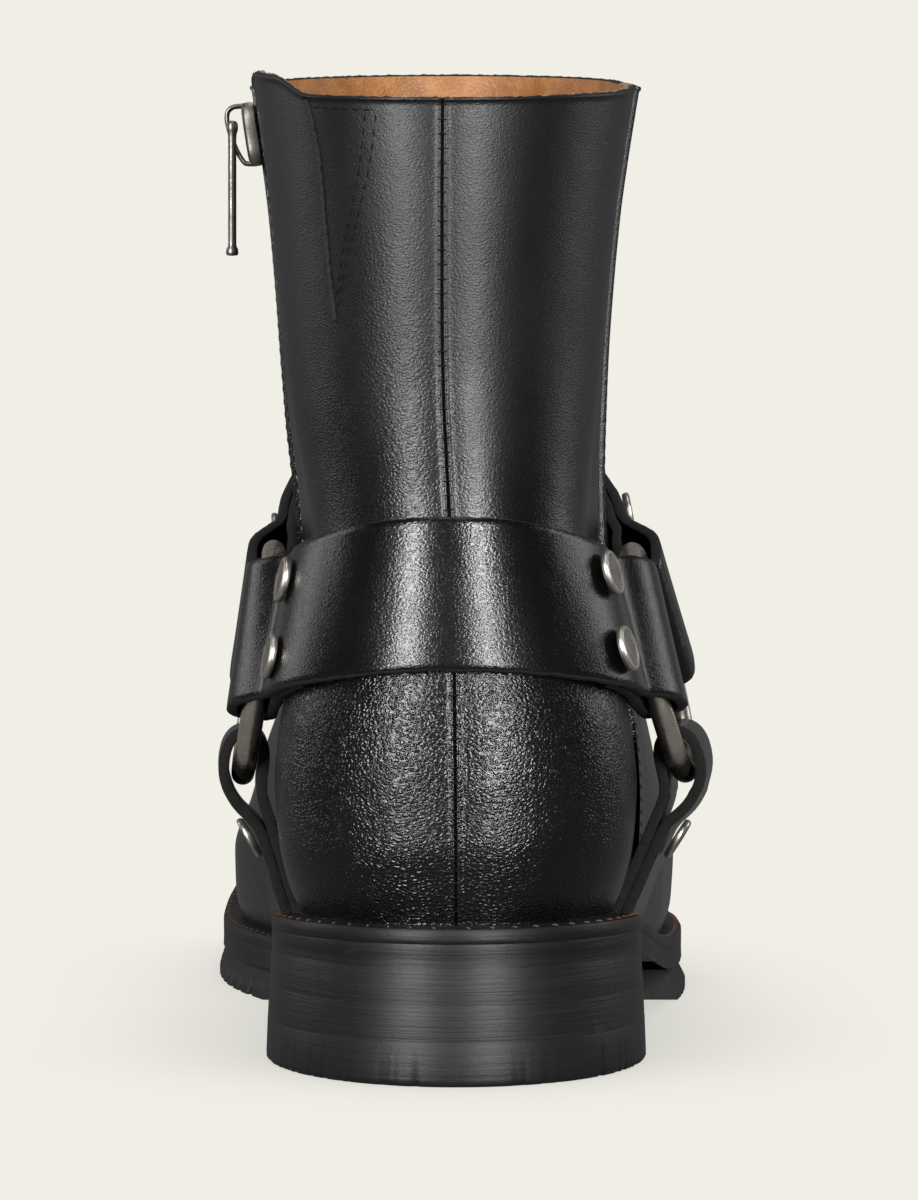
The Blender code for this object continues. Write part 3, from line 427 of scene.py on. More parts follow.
def upper_columns(row):
    """Angles once round a ring with the wall's lift at each."""
    seam = BACK_SEAM + [(0.0, -SEAM_DEPTH)] + [(-x, lift) for x, lift in reversed(BACK_SEAM)]
    turn = turn_for(row, 0.0, 1.0)
    lap, zip_middle = lap_angle(row), zip_angle(row)
    lap_turn, zip_turn = turn_for(row, lap, 1.0), turn_for(row, -zip_middle, 1.0)
    placket = ZIP_WIDTH / 2
    sunk = -ZIP_DEPTH * float(ease(zip_row + 0.02, zip_row + 0.1, row))
    front = -zip_middle - (placket + 0.9) * zip_turn
    found = [(angle, LAP) for angle in np.linspace(-math.pi, front, FRONT_INNER_COLUMNS)]
    for x, lift in ((placket + 0.5, LAP), (placket + 0.15, LAP * 0.9), (placket, min(sunk, 0.0))):
        found.append((-zip_middle - x * zip_turn, lift if sunk < -0.01 or x > placket + 0.1 else LAP * 0.5))
    found += [(-zip_middle - x * zip_turn, sunk) for x in (2.6, 1.3, 0.0, -1.3, -2.6)]
    for x, lift in ((-placket, sunk), (-placket - 0.15, -0.1), (-placket - 0.5, 0.0)):
        found.append((-zip_middle - x * zip_turn, lift if sunk < -0.01 else 0.0))
    behind = -zip_middle + (placket + 0.9) * zip_turn
    found += [(angle, 0.0) for angle in np.linspace(behind, -SEAM_REACH * turn, BACK_COLUMNS)]
    found += [(x * turn, lift) for x, lift in seam]
    found += [(angle, 0.0) for angle in np.linspace(SEAM_REACH * turn, lap - 0.5 * lap_turn, BACK_COLUMNS)]
    found += [(lap + x * lap_turn, lift) for x, lift in ((-0.05, -0.05), (0.05, LAP * 0.8), (0.3, LAP))]
    lapped = np.linspace(lap + 0.8 * lap_turn, math.pi, FRONT_OUTER_COLUMNS)[:-1]
    found += [(angle, LAP) for angle in lapped]
    return np.array(found)


def grain_strength(points):
    """How strongly the grain shows: most on the counter's inner side, least by the collar and on the toe."""
    x, s, z = points[:, 0], points[:, 1], points[:, 2]
    counter = ease(112.0, 62.0, z) * ease(105.0, 60.0, s)
    inner = ease(8.0, -14.0, x) * ease(185.0, 120.0, z) * ease(70.0, 20.0, s)
    foot = ease(60.0, 105.0, s) * 0.35
    return np.clip(0.30 + 0.58 * counter + 0.26 * inner + foot, 0.25, 1.3)


def grid_faces(rows, columns, closed=False, first=0):
    """The quads of a grid of points, joined round when it is closed."""
    row = np.arange(rows - 1)[:, None]
    column = np.arange(columns if closed else columns - 1)[None, :]
    after = (column + 1) % columns
    low, high = row * columns, (row + 1) * columns
    corners = [low + column, low + after, high + after, high + column]
    return np.stack(corners, axis=-1).reshape(-1, 4) + first


def piece(
    name, points, faces, finishes, replaced=(), body="boot", sharp=40.0, indices=None, values=None
):
    """An object from points in the shoe's own millimetres, with its finishes, its body and its CAD nodes."""
    mesh = bpy.data.meshes.new(name)
    places = (np.asarray(points, float).reshape(-1, 3) - (0.0, HEEL_CENTRE, 0.0)) * MM
    mesh.from_pydata(places.tolist(), [], [list(map(int, face)) for face in faces])
    for finish in finishes:
        mesh.materials.append(finish.material)
    if indices is not None:
        mesh.polygons.foreach_set("material_index", np.asarray(indices, np.int32))
    for key, numbers in (values or {}).items():
        attribute = mesh.attributes.new(key, "FLOAT", "POINT")
        attribute.data.foreach_set("value", np.asarray(numbers, np.float32).ravel())
    mesh.update()
    mesh.shade_smooth()
    mesh.set_sharp_from_angle(angle=math.radians(sharp))
    made = bpy.data.objects.new(name, mesh)
    bpy.context.scene.collection.objects.link(made)
    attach(made, body)
    if replaced:
        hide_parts(*replaced)
    return made


# The outer face comes first, with a slight swell where its top edge is turned. The cut edges of the leather
# and of the lining cross the top of the wall, and the lining runs back down.
outer_rows = np.concatenate([np.linspace(0, TOP_ROW - 0.2, OUTER_ROWS), TOP_ROW - TURNED_DROPS])
inner_rows = np.linspace(TOP_ROW - 0.08, 0.0, INNER_ROWS)
points, kinds = [], []
for row in outer_rows:
    columns = upper_columns(row)
    swell = ease(TOP_ROW - 0.15, TOP_ROW - 0.11, row) - 0.6 * ease(TOP_ROW - 0.085, TOP_ROW - 0.03, row)
    ring = skin(row, columns[:, 0], columns[:, 1] + TURNED_EDGE * float(swell))[0]
    if row == 0.0:
        ring[:, 2] = sole_top(ring[:, 1]) + FOOT_GAP
    points.append(ring)
    kinds.append(0)
column_count = len(columns)
columns = upper_columns(float(TOP_ROW))
top_outer, top_normals = skin(float(TOP_ROW), columns[:, 0], columns[:, 1])
rise = unit(form(float(TOP_ROW), columns[:, 0]) - form(TOP_ROW - 0.1, columns[:, 0]))
depth = columns[:, 1] + LEATHER
for kind, edge in ((1, RAW_EDGE), (2, LINING_EDGE)):
    for share, drop in edge:
        points.append(top_outer - top_normals * (depth * share)[:, None] - rise * drop)
        kinds.append(kind)
for row in inner_rows:
    points.append(skin(row, upper_columns(row)[:, 0], -LEATHER)[0])
    kinds.append(3)

# The cut edges are ragged. The collar rises to a corner on its inner side, and its front shows no lining.
upper_points = np.array(points)
edge_count = len(RAW_EDGE) + len(LINING_EDGE)
for i in range(len(outer_rows), len(outer_rows) + edge_count):
    for j in range(column_count):
        place = Vector(upper_points[i, j])
        upper_points[i, j, 2] += 0.22 * noise.noise(place * 0.9) + 0.18 * noise.noise(place * 2.3)
heights = np.concatenate([outer_rows, np.full(edge_count, TOP_ROW), inner_rows])
inner_corner = ease(-26.5, -34.0, upper_points[:, :, 0]) * ease(70.0, 58.0, upper_points[:, :, 1])
upper_points[:, :, 2] += CORNER_RISE * inner_corner * ease(TOP_ROW - 1.3, TOP_ROW, heights)[:, None]
upper_points = upper_points.reshape(-1, 3)
upper_faces = grid_faces(len(points), column_count, closed=True)
face_kinds = np.repeat(kinds[1:], column_count)
front_rim = (face_kinds == 2) & (upper_points[: len(face_kinds), 1] > LINED_RIM_END)
face_kinds[front_rim] = 1
shine = 1 - 0.85 * ease(84.0, 150.0, upper_points[:, 2])
piece(
    "upper_leather_and_lining",
    upper_points,
    upper_faces,
    [upper_leather, raw_edge, lining_edge, lining],
    ["upper"],
    sharp=50,
    indices=face_kinds,
    values={"grain": grain_strength(upper_points), "shine": shine},
)

# The outer face alone, for what is sewn to it or rests on it.
outside_count = len(outer_rows) * column_count
outside_faces = [tuple(map(int, face)) for face in upper_faces if max(face) < outside_count]
outside = BVHTree.FromPolygons([Vector(p) for p in upper_points[:outside_count]], outside_faces)


# Seam stitches
# Black waxed thread. The back seam is laced across its ridges, the lap on the outer side has two rows,
# and the zip has one on each side. A stitch is a bead of thread that dips into the leather at both ends.

THREAD_BLACK = (0.006, 0.006, 0.0065)
# Columns: pitch, length, radius of the thread.
BACK_LACING = (2.65, 1.9, 0.14)
LAP_STITCH = (2.6, 1.9, 0.18)
ZIP_STITCH = (2.6, 1.9, 0.22)
LACING_LIFT = 0.28
LAP_ROWS = (2.2, 4.6)
# Columns: distance from the zip's middle, lift of the leather there.
ZIP_SEAMS = ((-7.0, LAP), (6.0, 0.0))

thread = Finish("black_thread", THREAD_BLACK, 0.8)
thread.set("Specular IOR Level", 0.12)
thread.relief(thread.noise(0.12, 2) * 0.05)


def capped_faces(rows, columns, first=0):
    """The faces of a grid that is joined round and filled across its first and last rows."""
    start = list(range(first, first + columns))
    end = list(range(first + (rows - 1) * columns, first + rows * columns))
    return grid_faces(rows, columns, closed=True, first=first).tolist() + [start[::-1], end]


def stitches(name, path, normals, pitch, length, radius, finish, slot="leather", lean=0.0):
    """Stitches along a path on a surface. lean turns each one across the path."""
    path, normals = np.asarray(path, float), np.asarray(normals, float)
    steps = np.linalg.norm(np.diff(path, axis=0), axis=1)
    along = np.concatenate([[0.0], np.cumsum(steps)])
    middles = np.arange(pitch / 2, along[-1], pitch)
    centres = np.stack([np.interp(middles, along, path[:, i]) for i in range(3)], axis=-1)
    ahead = np.stack([np.interp(middles + 0.4, along, path[:, i]) for i in range(3)], axis=-1)
    behind = np.stack([np.interp(middles - 0.4, along, path[:, i]) for i in range(3)], axis=-1)
    up = unit(np.stack([np.interp(middles, along, normals[:, i]) for i in range(3)], axis=-1))
    run = unit(ahead - behind)
    side = unit(np.cross(run, up))
    run = unit(run * math.cos(lean) + side * math.sin(lean))
    side = unit(np.cross(run, up))
    rings, sides = (-1.0, -0.82, -0.4, 0.4, 0.82, 1.0), 6
    points, faces = [], []
    for c, d, n, w in zip(centres, run, up, side):
        first = len(points)
        for t in rings:
            width = radius * math.sqrt(max(0.02, 1 - t**4))
            dip = radius * 0.9 * t * t
            for k in range(sides):
                turn = 2 * math.pi * k / sides
                offset = w * (width * math.cos(turn)) + n * (width * math.sin(turn) + radius * 0.35 - dip)
                points.append(c + d * (t * length / 2) + offset)
        faces += capped_faces(len(rings), sides, first)
    return piece(name, points, faces, [finish], sharp=80)


def seam_path(row_of, angle_of, count=160, lift=0.0):
    """A path on the upper from rows and angles given as functions of a share from 0 to 1."""
    path, normals = [], []
    for i in range(count):
        share = i / (count - 1)
        row = row_of(share)
        point, normal = skin(row, [angle_of(row, share)], lift)
        path.append(point[0])
        normals.append(normal[0])
    return path, normals


def beside(angle_of, offset):
    """A line that runs beside another at a distance on the ring."""
    return lambda row, share: angle_of(row) + turn_for(row, angle_of(row), offset)


ladder = seam_path(lambda share: mix(0.35, TOP_ROW - 0.15, share), lambda row, share: 0.0, 200, LACING_LIFT)
stitches("back_seam_stitches", *ladder, *BACK_LACING, thread, lean=math.pi / 2)
for offset in LAP_ROWS:
    line = beside(lap_angle, offset)
    path = seam_path(lambda share: mix(0.3, TOP_ROW - 0.2, share), line, 200, LAP - 0.12)
    stitches(f"side_seam_stitches_{offset}".replace(".", "_"), *path, *LAP_STITCH, thread)
for offset, lift in ZIP_SEAMS:
    line = beside(lambda row: -zip_angle(row), offset)
    path = seam_path(lambda share: mix(zip_row + 0.05, TOP_ROW - 0.2, share), line, 160, lift)
    stitches(f"zip_stitches_{int(offset)}".replace("-", "front_"), *path, *ZIP_STITCH, thread)


# Gusset
# A narrow V of the same leather, let into the inner half of the back from the collar down to a point
# above the harness, with doubled stitching and one raw edge. Its lines are placed where the camera sees
# them, in pixels of the picture, and dropped onto the upper.

GUSSET_STITCH = (2.5, 1.7, 0.15)
EYE = Vector((1.5, -650.0, 88.0))
FOCUS = 3596.0
EYE_COLUMN = 459
EYE_ROW = 600
GUSSET_ROWS = {
    "inner_row": [(365, 111), (360, 160), (350, 215), (341, 262), (336, 300)],
    "outer_row": [(376, 112), (370, 160), (358, 215), (345, 268), (337, 312)],
    "edge_row": [(314, 122), (322, 175), (328, 235), (333, 300)],
    "top_row": [(312, 107), (340, 109), (372, 110)],
}
GUSSET_EDGE = [(304, 97), (310, 118), (318, 160), (323, 215), (328, 270), (334, 321)]
# Columns: place across the edge, how proud it stands.
EDGE_SECTION = [(-0.9, -0.1), (-0.35, 0.42), (0.05, 0.5), (0.22, 0.3), (0.3, -0.1)]


def pixel_point(x, y):
    """The point of the upper's outside that the camera sees at a pixel, with its normal."""
    ray = Vector(((x - EYE_COLUMN) / FOCUS, 1.0, (EYE_ROW - y) / FOCUS)).normalized()
    place, normal = outside.ray_cast(EYE, ray)[:2]
    if normal.dot(ray) > 0:
        normal = -normal
    return place, normal


def pixel_path(corners, count=90):
    """A smooth path on the upper through pixels, with the normals along it."""
    xs, ys = [c[0] for c in corners], [c[1] for c in corners]
    steps = np.concatenate([[0.0], np.cumsum(np.hypot(np.diff(xs), np.diff(ys)))])
    path, normals = [], []
    for along in np.linspace(0.0, steps[-1], count):
        place, normal = pixel_point(float(curve(steps, xs, along)), float(curve(steps, ys, along)))
        path.append(place)
        normals.append(normal)
    return path, normals


for label, corners in GUSSET_ROWS.items():
    stitches(f"gusset_{label}", *pixel_path(corners), *GUSSET_STITCH, thread)
path, normals = [np.asarray(part, float) for part in pixel_path(GUSSET_EDGE, 140)]
run = unit(np.gradient(path - normals * 0.02, axis=0))
side = unit(np.cross(run, normals))
edge_rows = [path - normals * 0.02 + side * across + normals * proud for across, proud in EDGE_SECTION]
faces = grid_faces(len(path), len(EDGE_SECTION))
piece("gusset_edge", np.stack(edge_rows, axis=1), faces, [raw_edge], sharp=70)


# Insole
# A leather board under the foot with a tan sock on it, held by the welt's seam. It keeps its CAD shape
# and takes the lining's finish.


def finish_cad_node(name, finish):
    """Gives a finish to a CAD node that keeps its own shape."""
    nodes[name].data.materials.clear()
    nodes[name].data.materials.append(finish.material)


finish_cad_node("insole", lining)


# Welt
# A strip of black leather round the foot of the upper, sewn through it and down to the midsole with a row
# of orange-brown thread. Its inner edge runs in under the lasted upper, and its outer edge is rounded.

FEATHER = 2.5
HEEL_ROUND = 47.0
TOE_ROUND = 52.0
WELT_POINTS = 300
WELT_STITCH_INSET = 1.3
WELT_STITCH = (4.4, 1.5, 0.26)
WELT_STITCH_LEAN = 1.1
# Columns: inset from the outline, height above the welt's foot.
WELT_SECTION = [(0.1, 0.0), (0.02, 0.15), (0.0, 1.0), (0.05, 2.2), (0.3, 2.65), (0.9, 2.87), (2.2, WELT)]
INK = (0.0022, 0.0020, 0.0021)
WORN_INK = (0.022, 0.019, 0.0175)
ORANGE_DARK = (0.06, 0.02, 0.009)
ORANGE = (0.20, 0.065, 0.025)


def inked_edge(name, dark, worn, line, wear):
    """A sole's edge of layered leather, inked black: fine level lines, scuffs and spots rubbed paler."""
    made = Finish(name, dark, 0.5)
    layers = made.noise(line, 3, 0.6, stretch=(60, 60, 1))
    scuff = made.noise(3.2, 5, 0.7, stretch=(2.5, 2.5, 1.0))
    rubbed = made.noise(14, 3, 0.6)
    fleck = (scuff.ramp(0.60, 0.74) * rubbed.ramp(0.42, 0.62) * wear).math("MINIMUM", 1.0)
    lines = layers.ramp(0.52, 0.72) * 0.16
    made.set("Base Color", made.blend((fleck + lines * wear).math("MINIMUM", 1.0), dark, worn))
    made.relief(layers * 0.09 + scuff * 0.06 + made.noise(0.5, 2) * 0.03)
    made.set("Roughness", 0.38 + fleck * 0.26 + layers * 0.16)
    made.set("Specular IOR Level", 0.40)
    return made


sole_edge = inked_edge("sole_edge", INK, WORN_INK, 0.7, 0.5)
tan_thread = Finish("welt_thread", ORANGE, 0.7)
strands = tan_thread.noise(0.2, 3, 0.6)
tan_thread.set("Base Color", tan_thread.blend(strands.ramp(0.3, 0.7), ORANGE_DARK, ORANGE))
tan_thread.relief(strands * 0.08)


def half_width(s):
    half = curve(OUTLINE[:, 0], OUTLINE[:, 2], s / LENGTH) * BALL_WIDTH
    into_heel = np.clip((HEEL_ROUND - s) / HEEL_ROUND, 0.0, 1.0)
    into_toe = np.clip((s - LENGTH + TOE_ROUND) / TOE_ROUND, 0.0, 1.0)
    return half * np.sqrt(1 - into_heel**2) * (1 - into_toe**TOE_SQUARENESS) ** (1 / TOE_SQUARENESS)


def outline(end=LENGTH, count=260, breast=26):
    """The sole's outline as (x, s) points once round, straight across the breast where end cuts it."""
    last = math.acos(1 - 2 * end / LENGTH)
    angles = np.linspace(-last, last, count)
    if end == LENGTH:
        angles = np.linspace(-math.pi, math.pi, count + 1)[:-1]
    s = (1 - np.cos(angles)) / 2 * LENGTH
    loop = np.stack([swing(s) + np.sign(angles) * half_width(s), s], axis=-1)
    if end < LENGTH:
        bridge = np.linspace(loop[-1], loop[0], breast + 2)[1:-1]
        loop = np.concatenate([loop, bridge])
    return loop


def offset_loop(loop, inset):
    """A loop drawn in by inset, which may be one number or one for each point."""
    run = np.roll(loop, -1, axis=0) - np.roll(loop, 1, axis=0)
    normals = unit(np.stack([run[:, 1], -run[:, 0]], axis=-1))
    return loop - normals * np.reshape(inset, (-1, 1))


def turned_outward(made):
    """Points every face of a closed mesh out."""
    mesh = bmesh.new()
    mesh.from_mesh(made.data)
    bmesh.ops.recalc_face_normals(mesh, faces=mesh.faces)
    mesh.to_mesh(made.data)
    mesh.free()
    made.data.update()
    return made


angles = np.linspace(-math.pi, math.pi, WELT_POINTS + 1)[:-1]
feather = skin(0.0, angles, -LEATHER - FEATHER)[0]
welt_rows = []
for inset, height in WELT_SECTION:
    ring = offset_loop(outline(count=WELT_POINTS), inset)
    welt_rows.append(np.stack([ring[:, 0], ring[:, 1], welt_bottom(ring[:, 1]) + height], axis=-1))
for height in (WELT, 0.0):
    welt_rows.append(np.stack([feather[:, 0], feather[:, 1], welt_bottom(feather[:, 1]) + height], axis=-1))
welt_rows.append(welt_rows[0])
faces = grid_faces(len(welt_rows), WELT_POINTS, closed=True)
turned_outward(piece("welt_rim", np.array(welt_rows), faces, [sole_edge], ["welt"]))

ring = offset_loop(outline(count=400), WELT_STITCH_INSET)
path = np.stack([ring[:, 0], ring[:, 1], sole_top(ring[:, 1]) - 0.12], axis=-1)
path = np.roll(path, 200, axis=0)
upward = np.tile((0.0, 0.0, 1.0), (len(path), 1))
stitches("welt_stitches", path, upward, *WELT_STITCH, tan_thread, "edge", lean=WELT_STITCH_LEAN)


# Midsole
# A layer of sole leather under the welt, from the toe to the back of the heel, cemented and sewn to it.
# Its edge is inked black like the welt's and a little hollow.


def lowered(height, drop):
    """The same line of heights along the sole, moved down."""
    return lambda s: height(s) - drop


def layer(name, loop, levels, finishes, replaced, sharp=40.0):
    """A closed layer of the sole from levels of (inset, height). A height is a number or a function of s."""
    points = []
    for inset, height in levels:
        ring = offset_loop(loop, inset)
        z = height(ring[:, 1]) if callable(height) else np.broadcast_to(height, len(ring))
        points.append(np.stack([ring[:, 0], ring[:, 1], z], axis=-1))
    faces = capped_faces(len(points), len(loop))
    made = piece(name, np.array(points), faces, finishes, replaced, sharp=sharp)
    return turned_outward(made)


midsole_levels = [
    (-0.04, midsole_bottom),
    (0.0, lowered(midsole_bottom, -0.15)),
    (0.05, lowered(midsole_bottom, -MIDSOLE * 0.55)),
    (0.0, lowered(midsole_bottom, -MIDSOLE + 0.05)),
    (0.10, lowered(midsole_bottom, -MIDSOLE + 0.04 - GAP)),
]
layer("midsole_edge", outline(), midsole_levels, [sole_edge], ["midsole"])


# Heel
# Two lifts of stacked leather on a rubber top lift, nailed up through the midsole. The stack is trimmed
# to the sole's outline, inked black and scuffed in level streaks, and the top lift's foot is nicked.

TOP_LIFT = 8.0
LOWER_LIFT = 6.7
HEEL_LENGTH = 66.0
HEEL_INK = (0.0045, 0.0043, 0.0043)
LIFT_INK = (0.0048, 0.0046, 0.0047)

heel_edge = inked_edge("heel_edge", HEEL_INK, (0.034, 0.031, 0.029), 0.5, 0.9)
lift_edge = inked_edge("lift_edge", LIFT_INK, (0.020, 0.0185, 0.018), 1.3, 0.4)

heel = outline(HEEL_LENGTH, 300, 60)
nicks = np.array([max(0.0, noise.noise(Vector((x, y, 4.0)) * 0.9)) for x, y in heel])
lower_top = TOP_LIFT + LOWER_LIFT
top_levels = [
    (-0.7 + nicks, 0.0),
    (-1.05 + nicks * 0.7, 0.45),
    (-1.05, 1.3),
    (-0.80, TOP_LIFT - 0.1),
    (-0.76, TOP_LIFT),
]
lower_levels = [
    (-0.76, TOP_LIFT + 0.02),
    (-0.75, TOP_LIFT + 0.15),
    (-0.48, lower_top - 0.1),
    (-0.45, lower_top),
]
upper_levels = [
    (-0.45, lower_top + 0.02),
    (-0.44, lower_top + 0.15),
    (-0.10, lowered(midsole_bottom, 0.1)),
    (-0.07, lowered(midsole_bottom, 0.02)),
]
layer("heel_top_lift", heel, top_levels, [lift_edge], ["top_lift"])
layer("heel_lower_lift", heel, lower_levels, [heel_edge], ["lower_lift"])
layer("heel_upper_lift", heel, upper_levels, [heel_edge], ["upper_lift"])


# Half sole
# Lugged black rubber, cemented under the forefoot. It keeps its CAD shape, with its lugs, and takes a
# dusty rubber finish.

RUBBER = (0.004, 0.004, 0.0042)
RUBBER_DUST = (0.012, 0.0115, 0.011)

rubber = Finish("rubber", RUBBER, 0.62)
dust = rubber.noise(5, 5, 0.7)
rubber.set("Base Color", rubber.blend(dust.ramp(0.45, 0.8), RUBBER, RUBBER_DUST))
rubber.set("Roughness", 0.5 + dust * 0.3)
rubber.relief(rubber.noise(0.35, 3) * 0.05 + dust * 0.12)
finish_cad_node("half_sole", rubber)


# Straps
# Two straps of 1.8 mm leather run from ring to ring, one round the back of the ankle and one over the
# instep. Each end folds round a ring's rod, has its tail skived thin and is riveted back on itself. The
# cut edges are raw and a little wavy.

STRAP = 1.8
RING_RADIUS = 22.5
RING_ROD = 4.6
RING_STATION = 72.0
RING_HEIGHT = 75.5
STRAP_TAIL = 33.5
SKIVE = 10.0
STRAP_WIDTH = 28.5
STRAP_TAPER = 12.1
REAR_SLOPE = math.radians(12)
FRONT_SLOPE = math.radians(30)
FOLD_STEPS = 18
SIDE_STEPS = 18
ROUND_STEPS = 88
STRAP_GRAIN = 0.34
STRAP_REST = 0.05
STRAP_SPREAD = 8.0
# Columns: share of half the width, share of half the thickness, 1 where the leather is cut.
STRAP_FACE = [(-0.985, 1.0, 0), (-0.9, 1.04, 0), (-0.45, 1.0, 0), (0.0, 1.0, 0), (0.45, 1.0, 0)]
STRAP_FACE += [(0.9, 1.04, 0), (0.985, 1.0, 0)]
STRAP_CUT = [(1.0, 0.72, 1), (1.008, 0.2, 1), (1.006, -0.4, 1), (0.995, -0.8, 1)]
# Columns: side of the foot, distance out from the middle, tilt towards the collar, turn towards the toe.
HARNESS_RINGS = {
    "medial": (-1, 38.8, math.radians(8.0), math.radians(4.0)),
    "lateral": (1, 41.6, math.radians(14.0), math.radians(8.0)),
}

strap_leather = grained_leather("strap_leather", BLACK, (0.0028, 0.0027, 0.0028), 0.225)


def rest_line(origin, outward, across, width, lean=None):
    """How far out a flat strip lies on the upper: its middle's distance, and its lean across its width."""
    reaches = []
    for i in range(-4, 5):
        offset = width / 2 * i / 4
        hit = outside.ray_cast(origin + across * offset + outward * 200.0, -outward)[0]
        if hit:
            reaches.append((offset, (hit - origin).dot(outward)))
    if lean is None:
        offsets, outs = np.array(reaches).T
        lean = float(sum(offsets * (outs - outs.mean())) / sum(offsets**2))
    return max(reach - lean * offset for offset, reach in reaches), lean


class StrapPlane:
    """The tilted plane that a strap lies in, and how it rests in it on the upper."""

    def __init__(self, slope, forward, width, taper):
        self.width = width
        self.taper = taper
        self.centre = Vector((0.0, RING_STATION, RING_HEIGHT))
        self.along = Vector((0.0, forward * math.cos(slope), math.sin(slope)))
        self.across = Vector((0.0, -forward * math.sin(slope), math.cos(slope)))
        corner = width / 2 + 6 * GAP
        edge = math.sqrt((RING_RADIUS - RING_ROD / 2) ** 2 - corner**2)
        self.fold = edge + RING_ROD / 2
        self.clear = RING_RADIUS + RING_ROD / 2 + 0.5
        self.turn = self.clear + STRAP_SPREAD

    def ring_line(self, ring, distance):
        """How far out the inner side of a ring's rod lies at a distance along the strap, and its lean."""
        side, out, tilt, turn = ring
        lean = math.tan(turn) * self.across.y - math.tan(tilt) * self.across.z
        rise = math.tan(turn) * self.along.y - math.tan(tilt) * self.along.z
        return out + distance * rise - RING_ROD / 2 - GAP, lean

    def side_station(self, ring, distance):
        """A station beside the upper, which leans over from the upper's side to the ring's rod."""
        origin = self.centre + self.along * distance
        outward = Vector((ring[0], 0.0, 0.0))
        _, plain_lean = rest_line(origin, outward, self.across, self.width)
        rod, rod_lean = self.ring_line(ring, distance)
        share = 1 - float(ease(self.clear, self.turn, distance))
        lean = mix(plain_lean, rod_lean, share)
        plain, _ = rest_line(origin, outward, self.across, self.width, lean)
        reach = max(plain + STRAP_REST, mix(plain + STRAP_REST, rod - STRAP - GAP, share))
        return origin + outward * reach, self.across + outward * lean, outward

    def round_station(self, angle):
        """A station round the back or the instep, at an angle from the strap's own direction."""
        origin = self.centre + self.along * self.turn
        outward = self.along * math.cos(angle) + Vector((math.sin(angle), 0.0, 0.0))
        reach, lean = rest_line(origin, outward, self.across, self.width)
        return origin + outward * (reach + STRAP_REST), self.across + outward * lean, outward

    def route(self):
        """Stations of the strap's inner face from the medial ring to the lateral one."""
        medial, lateral = HARNESS_RINGS["medial"], HARNESS_RINGS["lateral"]
        distances = [mix(self.fold, self.turn, i / SIDE_STEPS) for i in range(SIDE_STEPS + 1)]
        angles = [math.pi * (i / ROUND_STEPS - 0.5) for i in range(1, ROUND_STEPS)]
        found = [self.side_station(medial, distance) for distance in distances]
        found += [self.round_station(angle) for angle in angles]
        found += [self.side_station(lateral, distance) for distance in reversed(distances)]
        found = with_normals(evened(with_normals(found)))
        for _ in range(6):
            found = with_normals(self.settled(found))
        return with_normals(evened(found, 30))

    def settled(self, found):
        """The same stations, each moved out until the strap's inner face is clear of the upper."""
        moved = []
        for middle, across, normal in found:
            lack = 0.0
            for k in range(-2, 3):
                point = middle + across * (self.width * k / 4)
                place, facing = outside.find_nearest(point)[:2]
                lack = max(lack, STRAP_REST - (point - place).dot(facing))
            moved.append((middle + normal * min(lack, 1.0), across, normal))
        return moved


def evened(found, rounds=6):
    """Stations smoothed a little along the strap, with the ends kept."""
    for _ in range(rounds):
        middles = [station[0] for station in found]
        crosses = [station[1] for station in found]
        for i in range(20, len(found) - 20):
            middles[i] = found[i][0] * 0.5 + (found[i - 1][0] + found[i + 1][0]) * 0.25
            crosses[i] = found[i][1] * 0.5 + (found[i - 1][1] + found[i + 1][1]) * 0.25
        found = [(m, c, n) for m, c, (_, _, n) in zip(middles, crosses, found)]
    return found


def with_normals(found):
    """Stations (middle, across, outward) with the across made square to the run, and the outward to both."""
    squared = []
    for i, (middle, across, outward) in enumerate(found):
        run = (found[min(len(found) - 1, i + 1)][0] - found[max(0, i - 1)][0]).normalized()
        side = (across - run * across.dot(run)).normalized()
        normal = run.cross(side)
        squared.append((middle, side, normal if normal.dot(outward) > 0 else -normal))
    return squared


def folded_end(plane, order, tail_length):
    """The inner layer with its fold round the rod, and how far out the outer layer lies from there on."""
    inner_lift = STRAP / 2
    doubled = inner_lift + STRAP + 0.35
    looped = inner_lift + STRAP + RING_ROD + 5 * GAP
    lengths = [0.0]
    for before, after in zip(order, order[1:]):
        lengths.append(lengths[-1] + (after[0] - before[0]).length)
    tail = len([length for length in lengths if length < tail_length]) - 1
    points = []
    for (middle, across, normal), length in zip(order[: tail + 1], lengths):
        share = mix(1.0, 0.5, float(ease(tail_length - SKIVE, tail_length, length)))
        points.append((middle + normal * (inner_lift * share), across, share))
    points.reverse()
    middle, across, normal = order[0]
    run = (order[1][0] - middle).normalized()
    radius = (looped - inner_lift) / 2
    for i in range(1, FOLD_STEPS):
        turn = math.pi * i / FOLD_STEPS
        lift = inner_lift + radius - radius * math.cos(turn)
        points.append((middle + normal * lift - run * (radius * math.sin(turn)), across, 1.0))
    near = RING_RADIUS - plane.fold
    lifts = []
    for length in lengths:
        lift = mix(looped, doubled, float(ease(near, near + plane.taper, length)))
        past_tail = float(ease(tail_length - SKIVE, tail_length + 1.2 * SKIVE, length))
        lifts.append(mix(lift, inner_lift, past_tail))
    return points, lifts


